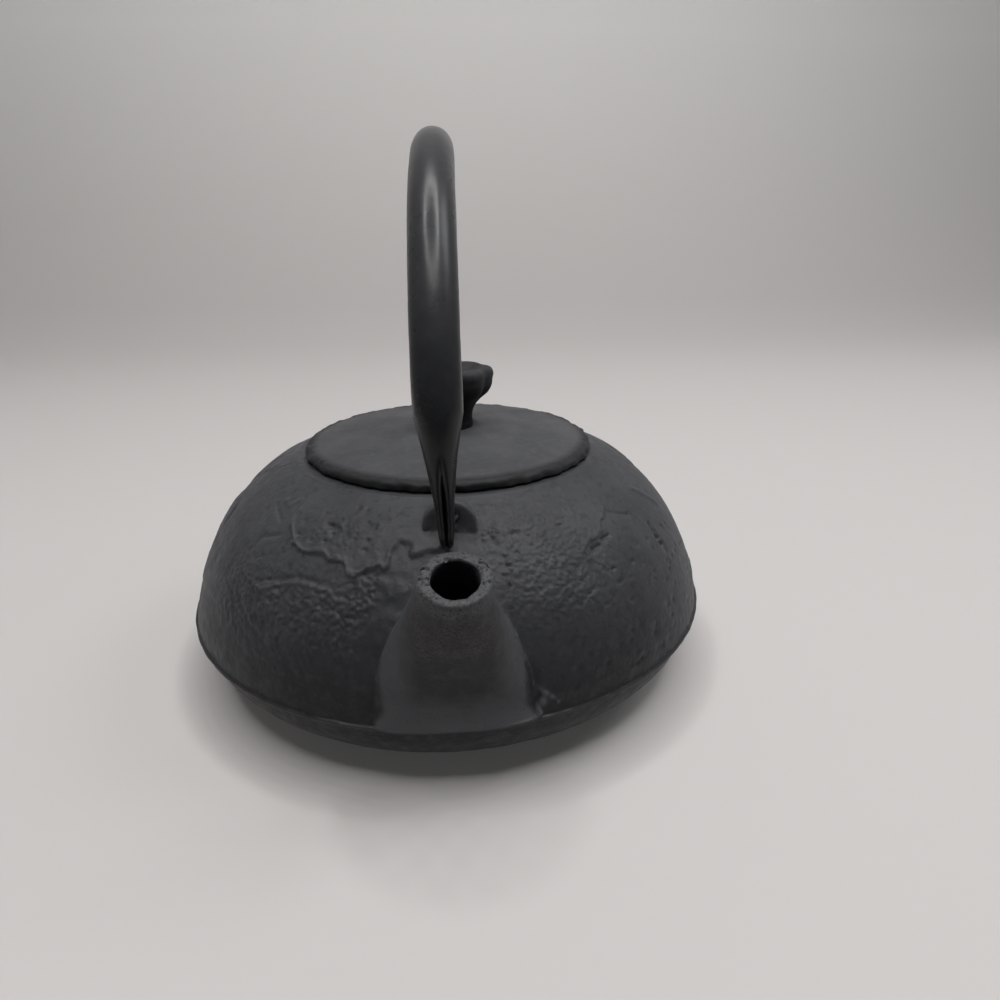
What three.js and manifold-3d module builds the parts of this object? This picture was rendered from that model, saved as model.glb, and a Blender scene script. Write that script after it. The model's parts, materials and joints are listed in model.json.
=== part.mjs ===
// A squat cast-iron water kettle: a domed pot with an upright spout and two ears, a crowned lid
// with a bud-shaped knob, and a round bail whose pinched ends hook into the ears.
// Millimetres, +Z up. The origin is the middle of the flat base and the spout points to -Y.

import * as THREE from 'three';
import { mergeVertices } from 'three/addons/utils/BufferGeometryUtils.js';
import Module from 'manifold-3d';

const wasm = await Module();
wasm.setup();

// Driving dimensions of the pot
const ridgeRadius = 74.4; // the widest line, where the two halves of the mould met
const ridgeHeight = 20;
const ridgeLip = 0.6; // how far the parting line stands proud of dome and underside
const domeHeight = 41.8; // from the ridge up to the seat that the lid rests on
const domeFlank = [0.15, 0.63]; // shares of the way in and up that its outline is drawn to, low down
const domeShoulder = [0.62, 0.87]; // and higher up
const wall = 3.4;
const baseRadius = 48;
const footHeight = 1;
const mouthLedge = 6.4; // width of the ledge under the edge of the lid
const collarWidth = 1.4; // the raised ring on the pot round the lid
const collarRise = 0.5;

// Driving dimensions of the lid and its knob
const lidRadius = 40.4;
const lidThickness = 2.6;
const lidRimHeight = 2.4;
const lidCrown = 3.3; // how far the middle of the lid stands above its rim
const lidFlangeDepth = 5.5;
const lidFlangeWall = 2.6;
const tangRadius = 2.3;
const knobHeight = 15;
const knobBudRadius = 9.8;
const knobNeckRadius = 6;
const knobFootRadius = 6.8;
const knobLean = 2.4; // the bud leans to +X, as it was cast
const knobSepals = 6;
const knobRibDepth = 0.11; // share of the bud's radius
const knobSeatRadius = 7;
const knobSeatHeight = 1.2;
const washerRadius = 6.5;
const washerThickness = 1;
const peenRadius = 3.9; // the hammered-over end of the tang
const peenHeight = 1.1;

// Driving dimensions of the spout
const spoutLipRadius = 7.05;
const spoutHoleRadius = 4.85;
const spoutReach = 19.08; // from the foot of the bail's shank out to the middle of its mouth
const spoutDrop = 3.4; // how far the middle of its mouth lies below the lid's seat
const spoutTilt = 21; // degrees that the mouth tips forward from level
const spoutRootWidth = 46.6;
const spoutRootDepth = 29.9;
const spoutSkirt = 0.5; // how far its foot stands proud of the ridge
const spoutLipRound = 0.6;
const spoutLean = 0.7; // its mouth stands a little to +X, as it was cast
const spoutFlareRight = 1.25; // 1 is a straight taper, and more draws the flank in above a wide root
const spoutFlareLeft = 1.02; // this flank came out fuller
const spoutFrontBend = [0.14, 0.33, 0.58, 0.69]; // shares of the way out and up, low down, then near the lip
const spoutBackBend = [0.12, 0.34, 0.64, 0.58];

// Driving dimensions of the ears
const earPlace = 0.23; // share of the way from the lid's edge to the ridge
const earThickness = 3.4;
const earWidth = 12.5;
const earHoleRise = 0.25; // from the dome to the lowest point of the hole
const earRoof = 2; // metal over the hole

// Driving dimensions of the bail
const bailDiameter = 10.1;
const bailBow = 10.8; // how far the middle of the bar bows out past the ears
const bailArchRise = 16.4; // from the pivot up to the middle of the round stretch
const bailArchStart = 8; // degrees above level at which the round stretch starts
const bailTaperLength = 42; // from the hook's tip, along the bar, to the full round
const bailTaperWaist = 1.62; // 1 is a straight taper in width, and more draws it in
const bailShankLength = 17; // from the hook's tip to where the taper starts
const bailShankWidth = 4;
const bailShankDepth = 4.7;
const bailHookDiameter = 2;
const bailHookLength = 5; // the even stretch at the tip that lies in the ear
const bailTipReach = 0.6; // how far the hook's tip comes through the ear
const bailTipRise = 0.5; // how far it points up there
const bailHeelDrop = 3.7; // from the pivot down to the middle of the hook's heel
const bailHeelReach = 4.7; // from the ear's outer face out to that heel
const bailHeelRound = 1.9;
const bailKneeReach = 2.1; // from the heel out to the foot of the shank
const bailKneeRise = 2; // from the pivot up to it
const bailGrooveDepth = 0.3; // share of the bar's depth
const bailGrooveWidth = 0.2; // share of its width
const bailBend = 0.5; // how far its limbs are bent to -X at half height, as it was forged
const bailLean = 0.5; // degrees to -X at which it comes to stand
const bailSkew = 0.75; // degrees by which its front hook has slid to -X in its ear

// Clearances
const gap = 0.3; // between pieces that rest on each other
const lidPlay = 0.8; // how far the loose lid lies to +X of the middle of its seat
const lidFlangeGap = lidPlay + 0.4; // all round, so that the lid drops in freely
const lidEdgeGap = lidPlay + gap;
const tangGap = 0.3;
const hookPlay = 1.1; // all round the hook in its ear

// Sizes that follow
const seatHeight = ridgeHeight + domeHeight;
const mouthRadius = lidRadius - mouthLedge;
const lidBottom = seatHeight + gap;
const lidRimTop = lidBottom + lidRimHeight;
const lidTop = lidRimTop + lidCrown;
const knobSeatBottom = lidTop + gap;
const knobBottom = knobSeatBottom + knobSeatHeight + gap;
const washerTop = crownHeight(washerRadius) - lidThickness - gap;
const washerBottom = washerTop - washerThickness;
const tangHoleRadius = tangRadius + tangGap;
const collarInner = lidRadius + lidEdgeGap;
const collarOuter = collarInner + collarWidth;
const earInnerFace = THREE.MathUtils.lerp(lidRadius, ridgeRadius, earPlace);
const earOuterFace = earInnerFace + earThickness;
const earMiddle = (earInnerFace + earOuterFace) / 2;
const earHoleRadius = bailHookDiameter / 2 + hookPlay;
const bailHeel = earOuterFace + bailHeelReach;
const bailKnee = bailHeel + bailKneeReach;
const bailRadius = earOuterFace + bailBow;

const degrees = Math.PI / 180;

// Steps round and along the forms
const potSteps = 60;
const lidSteps = 50;
const smallSteps = 30;
const spoutSteps = 28;
const bailSteps = 28;
const bailEndSteps = 8;
const bailArchSteps = 22;

// Makes one closed skin that faces out: shared corners merged, flat triangles dropped
function closed(geometry) {
  const bare = geometry.clone();
  bare.deleteAttribute('normal');
  bare.deleteAttribute('uv');
  const merged = mergeVertices(bare, 1e-4);
  const corners = merged.index.array;
  const place = merged.attributes.position;
  const kept = [];
  let volume = 0;
  const [a, b, c] = [new THREE.Vector3(), new THREE.Vector3(), new THREE.Vector3()];
  for (let i = 0; i < corners.length; i += 3) {
    const [p, q, r] = [corners[i], corners[i + 1], corners[i + 2]];
    if (p === q || q === r || r === p) continue;
    kept.push(p, q, r);
    a.fromBufferAttribute(place, p);
    b.fromBufferAttribute(place, q);
    c.fromBufferAttribute(place, r);
    volume += a.dot(b.cross(c));
  }
  merged.setIndex(volume < 0 ? kept.reverse() : kept);
  merged.computeVertexNormals();
  return merged;
}

function solid(geometry) {
  const skin = closed(geometry);
  return new wasm.Manifold(new wasm.Mesh({
    numProp: 3,
    vertProperties: Float32Array.from(skin.attributes.position.array),
    triVerts: Uint32Array.from(skin.index.array),
  }));
}

function geometryOf(manifold) {
  const { vertProperties, triVerts } = manifold.getMesh();
  const geometry = new THREE.BufferGeometry();
  geometry.setAttribute('position', new THREE.BufferAttribute(vertProperties, 3));
  geometry.setIndex(new THREE.BufferAttribute(triVerts, 1));
  geometry.computeVertexNormals();
  return geometry;
}

// Turns an outline of (radius, height) points about the Z axis
function turned(outline, steps) {
  return new THREE.LatheGeometry(outline, steps).rotateX(90 * degrees);
}

function point(radius, height) {
  return new THREE.Vector2(radius, height);
}

// A closed form through rings of equally many points, capped at both ends
function loft(rings) {
  const around = rings[0].length;
  const corners = [];
  rings.flat().forEach((p) => corners.push(p.x, p.y, p.z));
  const index = [];
  for (let ring = 0; ring < rings.length - 1; ring += 1) {
    for (let k = 0; k < around; k += 1) {
      const here = ring * around + k;
      const next = ring * around + ((k + 1) % around);
      index.push(here, next, here + around);
      index.push(next, next + around, here + around);
    }
  }
  [0, rings.length - 1].forEach((ring, end) => {
    const middle = new THREE.Vector3();
    rings[ring].forEach((p) => middle.addScaledVector(p, 1 / around));
    const hub = corners.length / 3;
    corners.push(middle.x, middle.y, middle.z);
    for (let k = 0; k < around; k += 1) {
      const here = ring * around + k;
      const next = ring * around + ((k + 1) % around);
      if (end === 0) index.push(hub, next, here);
      else index.push(hub, here, next);
    }
  });
  const geometry = new THREE.BufferGeometry();
  geometry.setAttribute('position', new THREE.Float32BufferAttribute(corners, 3));
  geometry.setIndex(index);
  return geometry;
}

// The dome's outline from the ridge up to the collar, and the underside's from the foot to the ridge
const domeFoot = point(ridgeRadius - ridgeLip, ridgeHeight + ridgeLip);
const domeCrest = point(collarOuter, seatHeight - gap);

function domeControl([inShare, upShare]) {
  return point(
    THREE.MathUtils.lerp(domeFoot.x, domeCrest.x, inShare),
    THREE.MathUtils.lerp(domeFoot.y, domeCrest.y, upShare),
  );
}

const domeCurve = new THREE.CubicBezierCurve(
  domeFoot,
  domeControl(domeFlank),
  domeControl(domeShoulder),
  domeCrest,
);

const undersideCurve = new THREE.QuadraticBezierCurve(
  point(baseRadius, footHeight),
  point(ridgeRadius - wall, footHeight + wall),
  point(ridgeRadius - 2 * ridgeLip, ridgeHeight - ridgeLip),
);

// The dome's height above a point that lies so far from the middle
function domeHeightAt(radius) {
  let low = 0;
  let high = 1;
  for (let i = 0; i < 40; i += 1) {
    const middle = (low + high) / 2;
    if (domeCurve.getPoint(middle).x > radius) low = middle;
    else high = middle;
  }
  return domeCurve.getPoint(low).y;
}

const pivotHeight = domeHeightAt(earMiddle) + earHoleRise + earHoleRadius;

// The outline moved towards its left by a distance, so that a wall keeps its thickness
function movedIn(outline, distance) {
  return outline.map((p, i) => {
    const before = outline[Math.max(i - 1, 0)];
    const after = outline[Math.min(i + 1, outline.length - 1)];
    const along = after.clone().sub(before).normalize();
    return point(p.x - along.y * distance, p.y + along.x * distance);
  });
}

function potOutside() {
  const ease = footHeight / 2;
  const foot = [point(0, 0), point(baseRadius - ease, 0), point(baseRadius, ease)];
  const ridge = [-1, 1].map((way) => point(ridgeRadius, ridgeHeight + way * (ridgeLip / 2)));
  const collar = [];
  const bead = collarWidth / 2;
  for (let turn = 30; turn <= 150; turn += 30) {
    const out = Math.cos(turn * degrees) * bead;
    const up = Math.sin(turn * degrees) * collarRise;
    collar.push(point(collarOuter - bead + out, seatHeight + up));
  }
  const seat = [point(collarInner, seatHeight), point(0, seatHeight)];
  const underside = undersideCurve.getPoints(7);
  const dome = domeCurve.getPoints(11);
  return turned([...foot, ...underside, ...ridge, ...dome, ...collar, ...seat], potSteps);
}

// The hollow, which opens up through the mouth
function potInside() {
  const floor = point(0, wall);
  const shell = [...undersideCurve.getPoints(5), ...domeCurve.getPoints(8)];
  const lining = movedIn(shell, wall);
  const ceiling = lining[lining.length - 1].y;
  const above = seatHeight + wall;
  const mouth = [point(mouthRadius, ceiling), point(mouthRadius, above), point(0, above)];
  lining[0].y = wall;
  return turned([floor, ...lining, ...mouth], potSteps);
}

// The spout runs up between a front and a back line that lean out from the ridge to the lip
const spoutMouth = new THREE.Vector3(
  spoutLean,
  -(bailKnee + spoutReach),
  seatHeight - spoutDrop,
);
const tilted = new THREE.Euler(spoutTilt * degrees, 0, 0);
const spoutAcross = new THREE.Vector3(0, -1, 0).applyEuler(tilted);
const spoutOut = new THREE.Vector3(0, 0, 1).applyEuler(tilted);

function spoutLine(root, lip, [outEarly, upEarly, outLate, upLate]) {
  const between = (out, up) => new THREE.Vector3(
    0,
    THREE.MathUtils.lerp(root.y, lip.y, out),
    THREE.MathUtils.lerp(root.z, lip.z, up),
  );
  return new THREE.CubicBezierCurve3(root, between(outEarly, upEarly), between(outLate, upLate), lip);
}

const spoutRootFront = new THREE.Vector3(0, -(ridgeRadius + spoutSkirt), ridgeHeight);
const spoutRootBack = spoutRootFront.clone().add(new THREE.Vector3(0, spoutRootDepth, 0));
const spoutLipFront = spoutMouth.clone().setX(0).addScaledVector(spoutAcross, spoutLipRadius);
const spoutLipBack = spoutMouth.clone().setX(0).addScaledVector(spoutAcross, -spoutLipRadius);
const spoutFront = spoutLine(spoutRootFront, spoutLipFront, spoutFrontBend);
const spoutBack = spoutLine(spoutRootBack, spoutLipBack, spoutBackBend);

// One ring of the spout, from a squarish root to a round lip, with its wall taken off for the bore
function spoutRing(share, rootWall, lipWall) {
  const thickness = THREE.MathUtils.lerp(rootWall, lipWall, share);
  const front = spoutFront.getPoint(share);
  const back = spoutBack.getPoint(share);
  const middle = front.clone().add(back).multiplyScalar(0.5);
  const across = front.clone().sub(middle);
  across.setLength(across.length() - thickness);
  const squareness = 2 / (3 - share);
  const ring = [];
  for (let k = 0; k < spoutSteps; k += 1) {
    const turn = (k / spoutSteps) * 2 * Math.PI;
    const ahead = Math.sign(Math.cos(turn)) * Math.abs(Math.cos(turn)) ** squareness;
    const aside = Math.sign(Math.sin(turn)) * Math.abs(Math.sin(turn)) ** squareness;
    const taper = (1 - share) ** (aside < 0 ? spoutFlareLeft : spoutFlareRight);
    const flank = THREE.MathUtils.lerp(spoutLipRadius, spoutRootWidth / 2, taper);
    const p = middle.clone().addScaledVector(across, ahead);
    p.x = spoutLean * share ** 2 + aside * (flank - thickness);
    ring.push(p);
  }
  return ring;
}

// The ring at the lip, drawn in and pushed out past the mouth
function beyondLip(ring, radius, out) {
  return ring.map((p) => spoutMouth.clone()
    .add(p.clone().sub(spoutMouth).setLength(radius))
    .addScaledVector(spoutOut, out));
}

function spoutOutside() {
  const count = 11;
  const rings = [];
  for (let i = 0; i <= count; i += 1) rings.push(spoutRing(i / count, 0, 0));
  rings.push(beyondLip(rings[count], spoutLipRadius - spoutLipRound, spoutLipRound));
  return loft(rings);
}

function spoutBore() {
  const count = 8;
  const rings = [];
  const lipWall = spoutLipRadius - spoutHoleRadius;
  for (let i = 0; i <= count; i += 1) rings.push(spoutRing(i / count, wall, lipWall));
  rings.push(beyondLip(rings[count], spoutHoleRadius, spoutLipRound + 1));
  return loft(rings);
}

// An upright plate on the shoulder, round on top; side is -1 over the spout and 1 behind
function ear(side) {
  const top = pivotHeight + earHoleRadius + earRoof;
  const half = earWidth / 2;
  const sunk = domeHeightAt(earOuterFace) - wall / 2;
  const plate = new THREE.Shape();
  plate.moveTo(half, sunk);
  plate.absarc(0, top - half, half, 0, Math.PI, false);
  plate.lineTo(-half, sunk);
  plate.closePath();
  const slab = new THREE.ExtrudeGeometry(plate, {
    depth: earThickness,
    bevelEnabled: false,
    curveSegments: 20,
  });
  slab.rotateX(90 * degrees);
  return slab.translate(0, side > 0 ? earOuterFace : -earInnerFace, 0);
}

// The hole runs on past the plate and grazes the shoulder behind it
function earHole(side) {
  const length = earThickness * 2;
  const drill = new THREE.CylinderGeometry(earHoleRadius, earHoleRadius, length, 24);
  return drill.translate(0, side * (earOuterFace + gap - length / 2), pivotHeight);
}

function potGeometry() {
  let pot = solid(potOutside()).add(solid(spoutOutside()));
  [-1, 1].forEach((side) => {
    pot = pot.add(solid(ear(side)));
  });
  pot = pot.subtract(solid(potInside())).subtract(solid(spoutBore()));
  [-1, 1].forEach((side) => {
    pot = pot.subtract(solid(earHole(side)));
  });
  return geometryOf(pot);
}

// The lid's top and underside are the same crown, a thickness apart
function crownHeight(radius) {
  return lidRimTop + lidCrown * (1 - (radius / lidRadius) ** 2);
}

function lidGeometry() {
  const round = lidRimHeight / 3;
  const flangeOuter = mouthRadius - lidFlangeGap;
  const flangeInner = flangeOuter - lidFlangeWall;
  const flangeBottom = lidBottom - lidFlangeDepth;
  const crownSteps = 7;
  const crownEdge = lidRadius - round;
  const outline = [];
  for (let i = 0; i <= crownSteps; i += 1) {
    const radius = THREE.MathUtils.lerp(tangHoleRadius, crownEdge, i / crownSteps);
    outline.push(point(radius, crownHeight(radius)));
  }
  for (let turn = 60; turn >= 0; turn -= 30) {
    outline.push(point(
      crownEdge + Math.cos(turn * degrees) * round,
      lidRimTop - round + Math.sin(turn * degrees) * round,
    ));
  }
  outline.push(point(lidRadius, lidBottom + round / 2), point(lidRadius - round / 2, lidBottom));
  outline.push(point(flangeOuter, lidBottom), point(flangeOuter, flangeBottom + round));
  outline.push(point(flangeOuter - round / 2, flangeBottom), point(flangeInner, flangeBottom));
  for (let i = crownSteps - 2; i >= 0; i -= 1) {
    const radius = THREE.MathUtils.lerp(tangHoleRadius, flangeInner, i / (crownSteps - 2));
    outline.push(point(radius, crownHeight(radius) - lidThickness));
  }
  outline.push(outline[0].clone());
  return closed(turned(outline, lidSteps));
}

// A flat ring round the tang, with its outer edge eased on top or below
function ringGeometry(radius, bottom, height, easedTop) {
  const ease = height / 3;
  const low = easedTop ? 0 : ease;
  const high = easedTop ? ease : 0;
  return closed(turned([
    point(tangHoleRadius, bottom),
    point(radius - low, bottom),
    point(radius, bottom + low),
    point(radius, bottom + height - high),
    point(radius - high, bottom + height),
    point(tangHoleRadius, bottom + height),
    point(tangHoleRadius, bottom),
  ], smallSteps));
}

// The bud swells from its neck into ribs that open as sepals round a sunken top
function knobBud() {
  const outline = new THREE.SplineCurve([
    point(knobFootRadius, 0),
    point(knobNeckRadius, knobHeight * 0.16),
    point(knobBudRadius * 0.84, knobHeight * 0.42),
    point(knobBudRadius, knobHeight * 0.7),
    point(knobBudRadius * 0.97, knobHeight * 0.92),
    point(knobBudRadius * 0.72, knobHeight),
    point(knobBudRadius * 0.4, knobHeight * 0.88),
  ]);
  const rings = [];
  const count = 18;
  for (let i = 0; i <= count; i += 1) {
    const { x: radius, y: up } = outline.getPoint(i / count);
    const rise = Math.min(up / knobHeight, 1);
    const ripple = knobRibDepth * THREE.MathUtils.smoothstep(rise, 0.15, 0.9);
    const lean = knobLean * THREE.MathUtils.smoothstep(rise, 0, 0.8);
    const ring = [];
    for (let k = 0; k < smallSteps; k += 1) {
      const turn = (k / smallSteps) * 2 * Math.PI;
      const reach = radius * (1 + ripple * Math.cos(knobSepals * turn));
      ring.push(new THREE.Vector3(
        lean + reach * Math.cos(turn),
        reach * Math.sin(turn),
        knobBottom + up,
      ));
    }
    rings.push(ring);
  }
  return loft(rings);
}

// The tang runs down through seat, lid and washer and ends in its hammered head
function knobTang() {
  const peenTop = washerBottom - gap;
  const ease = peenHeight / 2;
  return turned([
    point(0, peenTop - peenHeight),
    point(peenRadius - ease, peenTop - peenHeight),
    point(peenRadius, peenTop - ease),
    point(peenRadius, peenTop),
    point(tangRadius, peenTop),
    point(tangRadius, knobBottom + gap),
    point(0, knobBottom + gap),
  ], smallSteps);
}

function knobGeometry() {
  return geometryOf(solid(knobBud()).add(solid(knobTang())));
}

// Half of the bail's middle line, from the hook's tip up to the crest, as (reach, height over the
// pivot) points
function bailHalfLine() {
  const knee = point(bailKnee, bailKneeRise);
  const hook = [
    point(earInnerFace - bailTipReach, bailTipRise),
    point(earMiddle, 0),
    point(earOuterFace + bailTipReach, -bailTipRise),
    point(bailHeel - bailHeelRound, bailHeelRound / 2 - bailHeelDrop),
    point(bailHeel, -bailHeelDrop),
    point(bailHeel + bailHeelRound, -bailHeelDrop / 2),
    knee,
  ];
  const arch = [];
  const archPoints = 8;
  for (let i = 0; i <= archPoints; i += 1) {
    const turn = THREE.MathUtils.lerp(bailArchStart, 90, i / archPoints) * degrees;
    arch.push(point(bailRadius * Math.cos(turn), bailArchRise + bailRadius * Math.sin(turn)));
  }
  const shank = [1 / 3, 2 / 3].map((share) => point(
    THREE.MathUtils.lerp(knee.x, arch[0].x, Math.sin(share * 90 * degrees)),
    THREE.MathUtils.lerp(knee.y, arch[0].y, share),
  ));
  return [...hook, ...shank, ...arch];
}

function bailLine() {
  const half = bailHalfLine();
  const crest = half[half.length - 1].y;
  const bend = (height) => -bailBend * Math.sin(Math.max(height / crest, 0) * Math.PI);
  const front = half.map((p) => new THREE.Vector3(bend(p.y), -p.x, p.y));
  const back = half.slice(0, -1).reverse().map((p) => new THREE.Vector3(bend(p.y), p.x, p.y));
  const line = new THREE.CatmullRomCurve3([...front, ...back], false, 'centripetal');
  line.arcLengthDivisions = 1200;
  return line;
}

// The bar's width, its depth in the plane of the arch and its groove, so far from the hook's tip
function bailSection(fromTip) {
  const bluntness = 0.35;
  const taper = (fromTip - bailShankLength) / (bailTaperLength - bailShankLength);
  const shank = THREE.MathUtils.clamp(
    (fromTip - bailHookLength) / (bailShankLength - bailHookLength),
    0,
    1,
  );
  const swell = THREE.MathUtils.clamp(taper, 0, 1);
  const tip = Math.sqrt(THREE.MathUtils.clamp(bluntness + fromTip / bailHookDiameter, 0, 1));
  const width = bailHookDiameter * tip + (bailShankWidth - bailHookDiameter) * shank
    + (bailDiameter - bailShankWidth) * swell ** bailTaperWaist;
  const depth = bailHookDiameter * tip + (bailShankDepth - bailHookDiameter) * shank
    + (bailDiameter - bailShankDepth) * swell;
  const below = THREE.MathUtils.smoothstep(fromTip, bailShankLength / 2, bailShankLength);
  const above = 1 - THREE.MathUtils.smoothstep(taper, 0.25, 0.72);
  return { width, depth, groove: bailGrooveDepth * depth * below * above };
}

function bailGeometry() {
  const line = bailLine();
  const length = line.getLength();
  const shank = [];
  const taper = [];
  const arch = [];
  for (let i = 0; i < bailEndSteps; i += 1) {
    const share = i / bailEndSteps;
    shank.push(share * bailShankLength);
    taper.push(THREE.MathUtils.lerp(bailShankLength, bailTaperLength, share));
  }
  for (let i = 0; i <= bailArchSteps; i += 1) {
    const share = i / bailArchSteps;
    arch.push(THREE.MathUtils.lerp(bailTaperLength, length - bailTaperLength, share));
  }
  const otherEnd = [...shank, ...taper].reverse().map((station) => length - station);
  const stations = [...shank, ...taper, ...arch, ...otherEnd];
  const aside = new THREE.Vector3(1, 0, 0);
  const rings = stations.map((station) => {
    const middle = line.getPointAt(station / length);
    const along = line.getTangentAt(station / length);
    const outward = along.clone().cross(aside).multiplyScalar(-1);
    const { width, depth, groove } = bailSection(Math.min(station, length - station));
    const ring = [];
    for (let k = 0; k < bailSteps; k += 1) {
      const turn = (k / bailSteps) * 2 * Math.PI;
      const across = (width / 2) * Math.cos(turn);
      const offGroove = across / (bailGrooveWidth * width);
      const hollow = Math.sin(turn) > 0 ? groove * Math.exp(-(offGroove ** 2)) : 0;
      ring.push(middle.clone()
        .addScaledVector(aside, across)
        .addScaledVector(outward, (depth / 2) * Math.sin(turn) - hollow));
    }
    return ring;
  });
  return closed(loft(rings));
}

function iron(colour, roughness) {
  return new THREE.MeshStandardMaterial({ color: colour, roughness, metalness: 0.6 });
}

function piece(name, geometry, material) {
  const mesh = new THREE.Mesh(geometry, material);
  mesh.name = name;
  return mesh;
}

// The pieces in their places: the lid loose in its seat, the bail leaning about its pivot
const pot = new THREE.Group();
pot.add(piece('pot_body', potGeometry(), iron(0x2c2d2f, 0.72)));

const seatRing = ringGeometry(knobSeatRadius, knobSeatBottom, knobSeatHeight, true);
const washerRing = ringGeometry(washerRadius, washerBottom, washerThickness, false);
const lid = new THREE.Group();
lid.position.x = lidPlay;
lid.add(piece('lid', lidGeometry(), iron(0x303133, 0.66)));
lid.add(piece('knob_seat', seatRing, iron(0x2b2c2e, 0.62)));
lid.add(piece('knob', knobGeometry(), iron(0x2b2c2e, 0.58)));
lid.add(piece('knob_washer', washerRing, iron(0x3a3936, 0.6)));

const bail = new THREE.Group();
bail.position.z = pivotHeight;
bail.rotation.set(0, -bailLean * degrees, -bailSkew * degrees);
bail.add(piece('bail', bailGeometry(), iron(0x292a2c, 0.42)));

const group = new THREE.Group();
group.add(pot, lid, bail);

export default group;
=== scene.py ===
# %% [markdown]
# # A squat cast-iron water kettle
# The kettle is a domed pot with a short spout, a loose crowned lid with a bud-shaped knob, and a
# round bail hooked into two ears. Its exact solids come in first and stay where they are. Around
# them this lesson makes the skin that such iron really has: a rough casting with raised plates of
# skin, a fine satin lid, and a smooth forged bar pinched and grooved at its ends.
# Lengths are written in millimetres, because that is how a founder would measure the kettle, and
# one factor turns them into Blender's metres.

# %% Load the frame
import json
import math

import bmesh
import bpy
import numpy as np
from mathutils import Matrix, Vector, kdtree, noise


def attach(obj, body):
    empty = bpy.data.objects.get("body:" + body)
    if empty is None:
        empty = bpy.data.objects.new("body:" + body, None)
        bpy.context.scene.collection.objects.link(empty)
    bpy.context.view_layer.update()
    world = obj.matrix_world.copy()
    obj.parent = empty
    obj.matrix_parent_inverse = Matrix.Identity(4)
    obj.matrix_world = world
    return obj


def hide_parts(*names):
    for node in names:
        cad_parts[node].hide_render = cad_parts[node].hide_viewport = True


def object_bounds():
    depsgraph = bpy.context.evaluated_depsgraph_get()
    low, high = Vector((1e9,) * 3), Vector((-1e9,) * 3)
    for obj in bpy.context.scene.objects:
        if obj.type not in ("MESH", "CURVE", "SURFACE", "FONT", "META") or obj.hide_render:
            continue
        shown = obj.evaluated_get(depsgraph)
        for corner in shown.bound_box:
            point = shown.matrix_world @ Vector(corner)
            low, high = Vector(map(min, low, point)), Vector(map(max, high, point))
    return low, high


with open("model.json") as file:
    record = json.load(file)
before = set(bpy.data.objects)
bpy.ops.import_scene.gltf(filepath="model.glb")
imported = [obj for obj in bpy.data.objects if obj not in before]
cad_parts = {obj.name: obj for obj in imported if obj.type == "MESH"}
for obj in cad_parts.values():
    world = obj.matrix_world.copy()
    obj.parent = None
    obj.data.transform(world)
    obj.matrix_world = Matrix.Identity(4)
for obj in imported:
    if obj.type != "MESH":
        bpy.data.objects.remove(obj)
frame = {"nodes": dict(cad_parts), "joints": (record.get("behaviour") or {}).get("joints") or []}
cad_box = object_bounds()
MM = 0.001
print("pieces in the frame:", sorted(frame["nodes"]))

# %% [markdown]
# ## The camera
# The photograph looks at the kettle head-on from the spout's side and steeply from above, through
# a wide lens held close. A camera could be aimed with a Track To constraint, but the picture is
# also turned a little about its own axis, so the three angles are written out and turned into a
# matrix: a sideways, an upward and a backward direction, one in each column.

# %% Place the camera
EYE = Vector((0.0, -196.142, 121.560)) * MM
YAW, PITCH, ROLL = (math.radians(angle) for angle in (4.5156, 21.5524, -0.4310))
FOCAL_PIXELS = 697.62
PICTURE_PIXELS = 1000
SENSOR_WIDTH = 36.0

ahead = Vector((math.sin(YAW) * math.cos(PITCH), math.cos(YAW) * math.cos(PITCH), -math.sin(PITCH)))
level = Vector((math.cos(YAW), -math.sin(YAW), 0))
raised = level.cross(ahead)
sideways = math.cos(ROLL) * level + math.sin(ROLL) * raised
upward = math.cos(ROLL) * raised - math.sin(ROLL) * level
lens = bpy.data.cameras.new("eye_of_the_photo")
lens.sensor_width = SENSOR_WIDTH
lens.lens = FOCAL_PIXELS / PICTURE_PIXELS * SENSOR_WIDTH
lens.clip_start = 0.005
camera = bpy.data.objects.new("camera", lens)
camera.matrix_world = Matrix.Translation(EYE) @ Matrix((sideways, upward, -ahead)).transposed().to_4x4()
bpy.context.scene.collection.objects.link(camera)
bpy.context.scene.camera = camera
print("lens", round(lens.lens, 2), "mm")

# %% [markdown]
# ## Helpers for iron
# Everything here is either turned on a wheel, as the pot's mould was, or drawn out along a line,
# as the bail was. Both are a stack of rings of equally many points, so one helper skins such a
# stack. A Screw modifier and a bevelled curve could do it too, but rings of points can be pushed
# about with numpy before they become a mesh, and that is how the rough skin is made.

# %% Skin a stack of rings
def skin(rings, ends="capped"):
    """Corners and faces through rings of points. The ends are capped, or joined to each other."""
    rings = np.asarray(rings, float)
    count, around, _ = rings.shape
    corners = rings.reshape(-1, 3)
    here = np.arange(around)
    there = np.roll(here, -1)
    faces = []
    for ring in range(count if ends == "joined" else count - 1):
        low, high = ring * around, (ring + 1) % count * around
        faces += np.stack([low + here, low + there, high + there, high + here], 1).tolist()
    if ends == "capped":
        for ring in (0, count - 1):
            hub = len(corners)
            corners = np.vstack([corners, rings[ring].mean(0)])
            fan = np.stack([np.full(around, hub), ring * around + here, ring * around + there], 1)
            faces += (fan[:, ::-1] if ring == 0 else fan).tolist()
    return corners, faces


def make(name, corners, faces):
    """A mesh object from corners in millimetres, with its faces turned outwards."""
    mesh = bpy.data.meshes.new(name)
    mesh.from_pydata((np.asarray(corners) * MM).tolist(), [], faces)
    thing = bpy.data.objects.new(name, mesh)
    bpy.context.scene.collection.objects.link(thing)
    edit = bmesh.new()
    edit.from_mesh(mesh)
    bmesh.ops.recalc_face_normals(edit, faces=edit.faces)
    edit.to_mesh(mesh)
    edit.free()
    return thing


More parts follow.
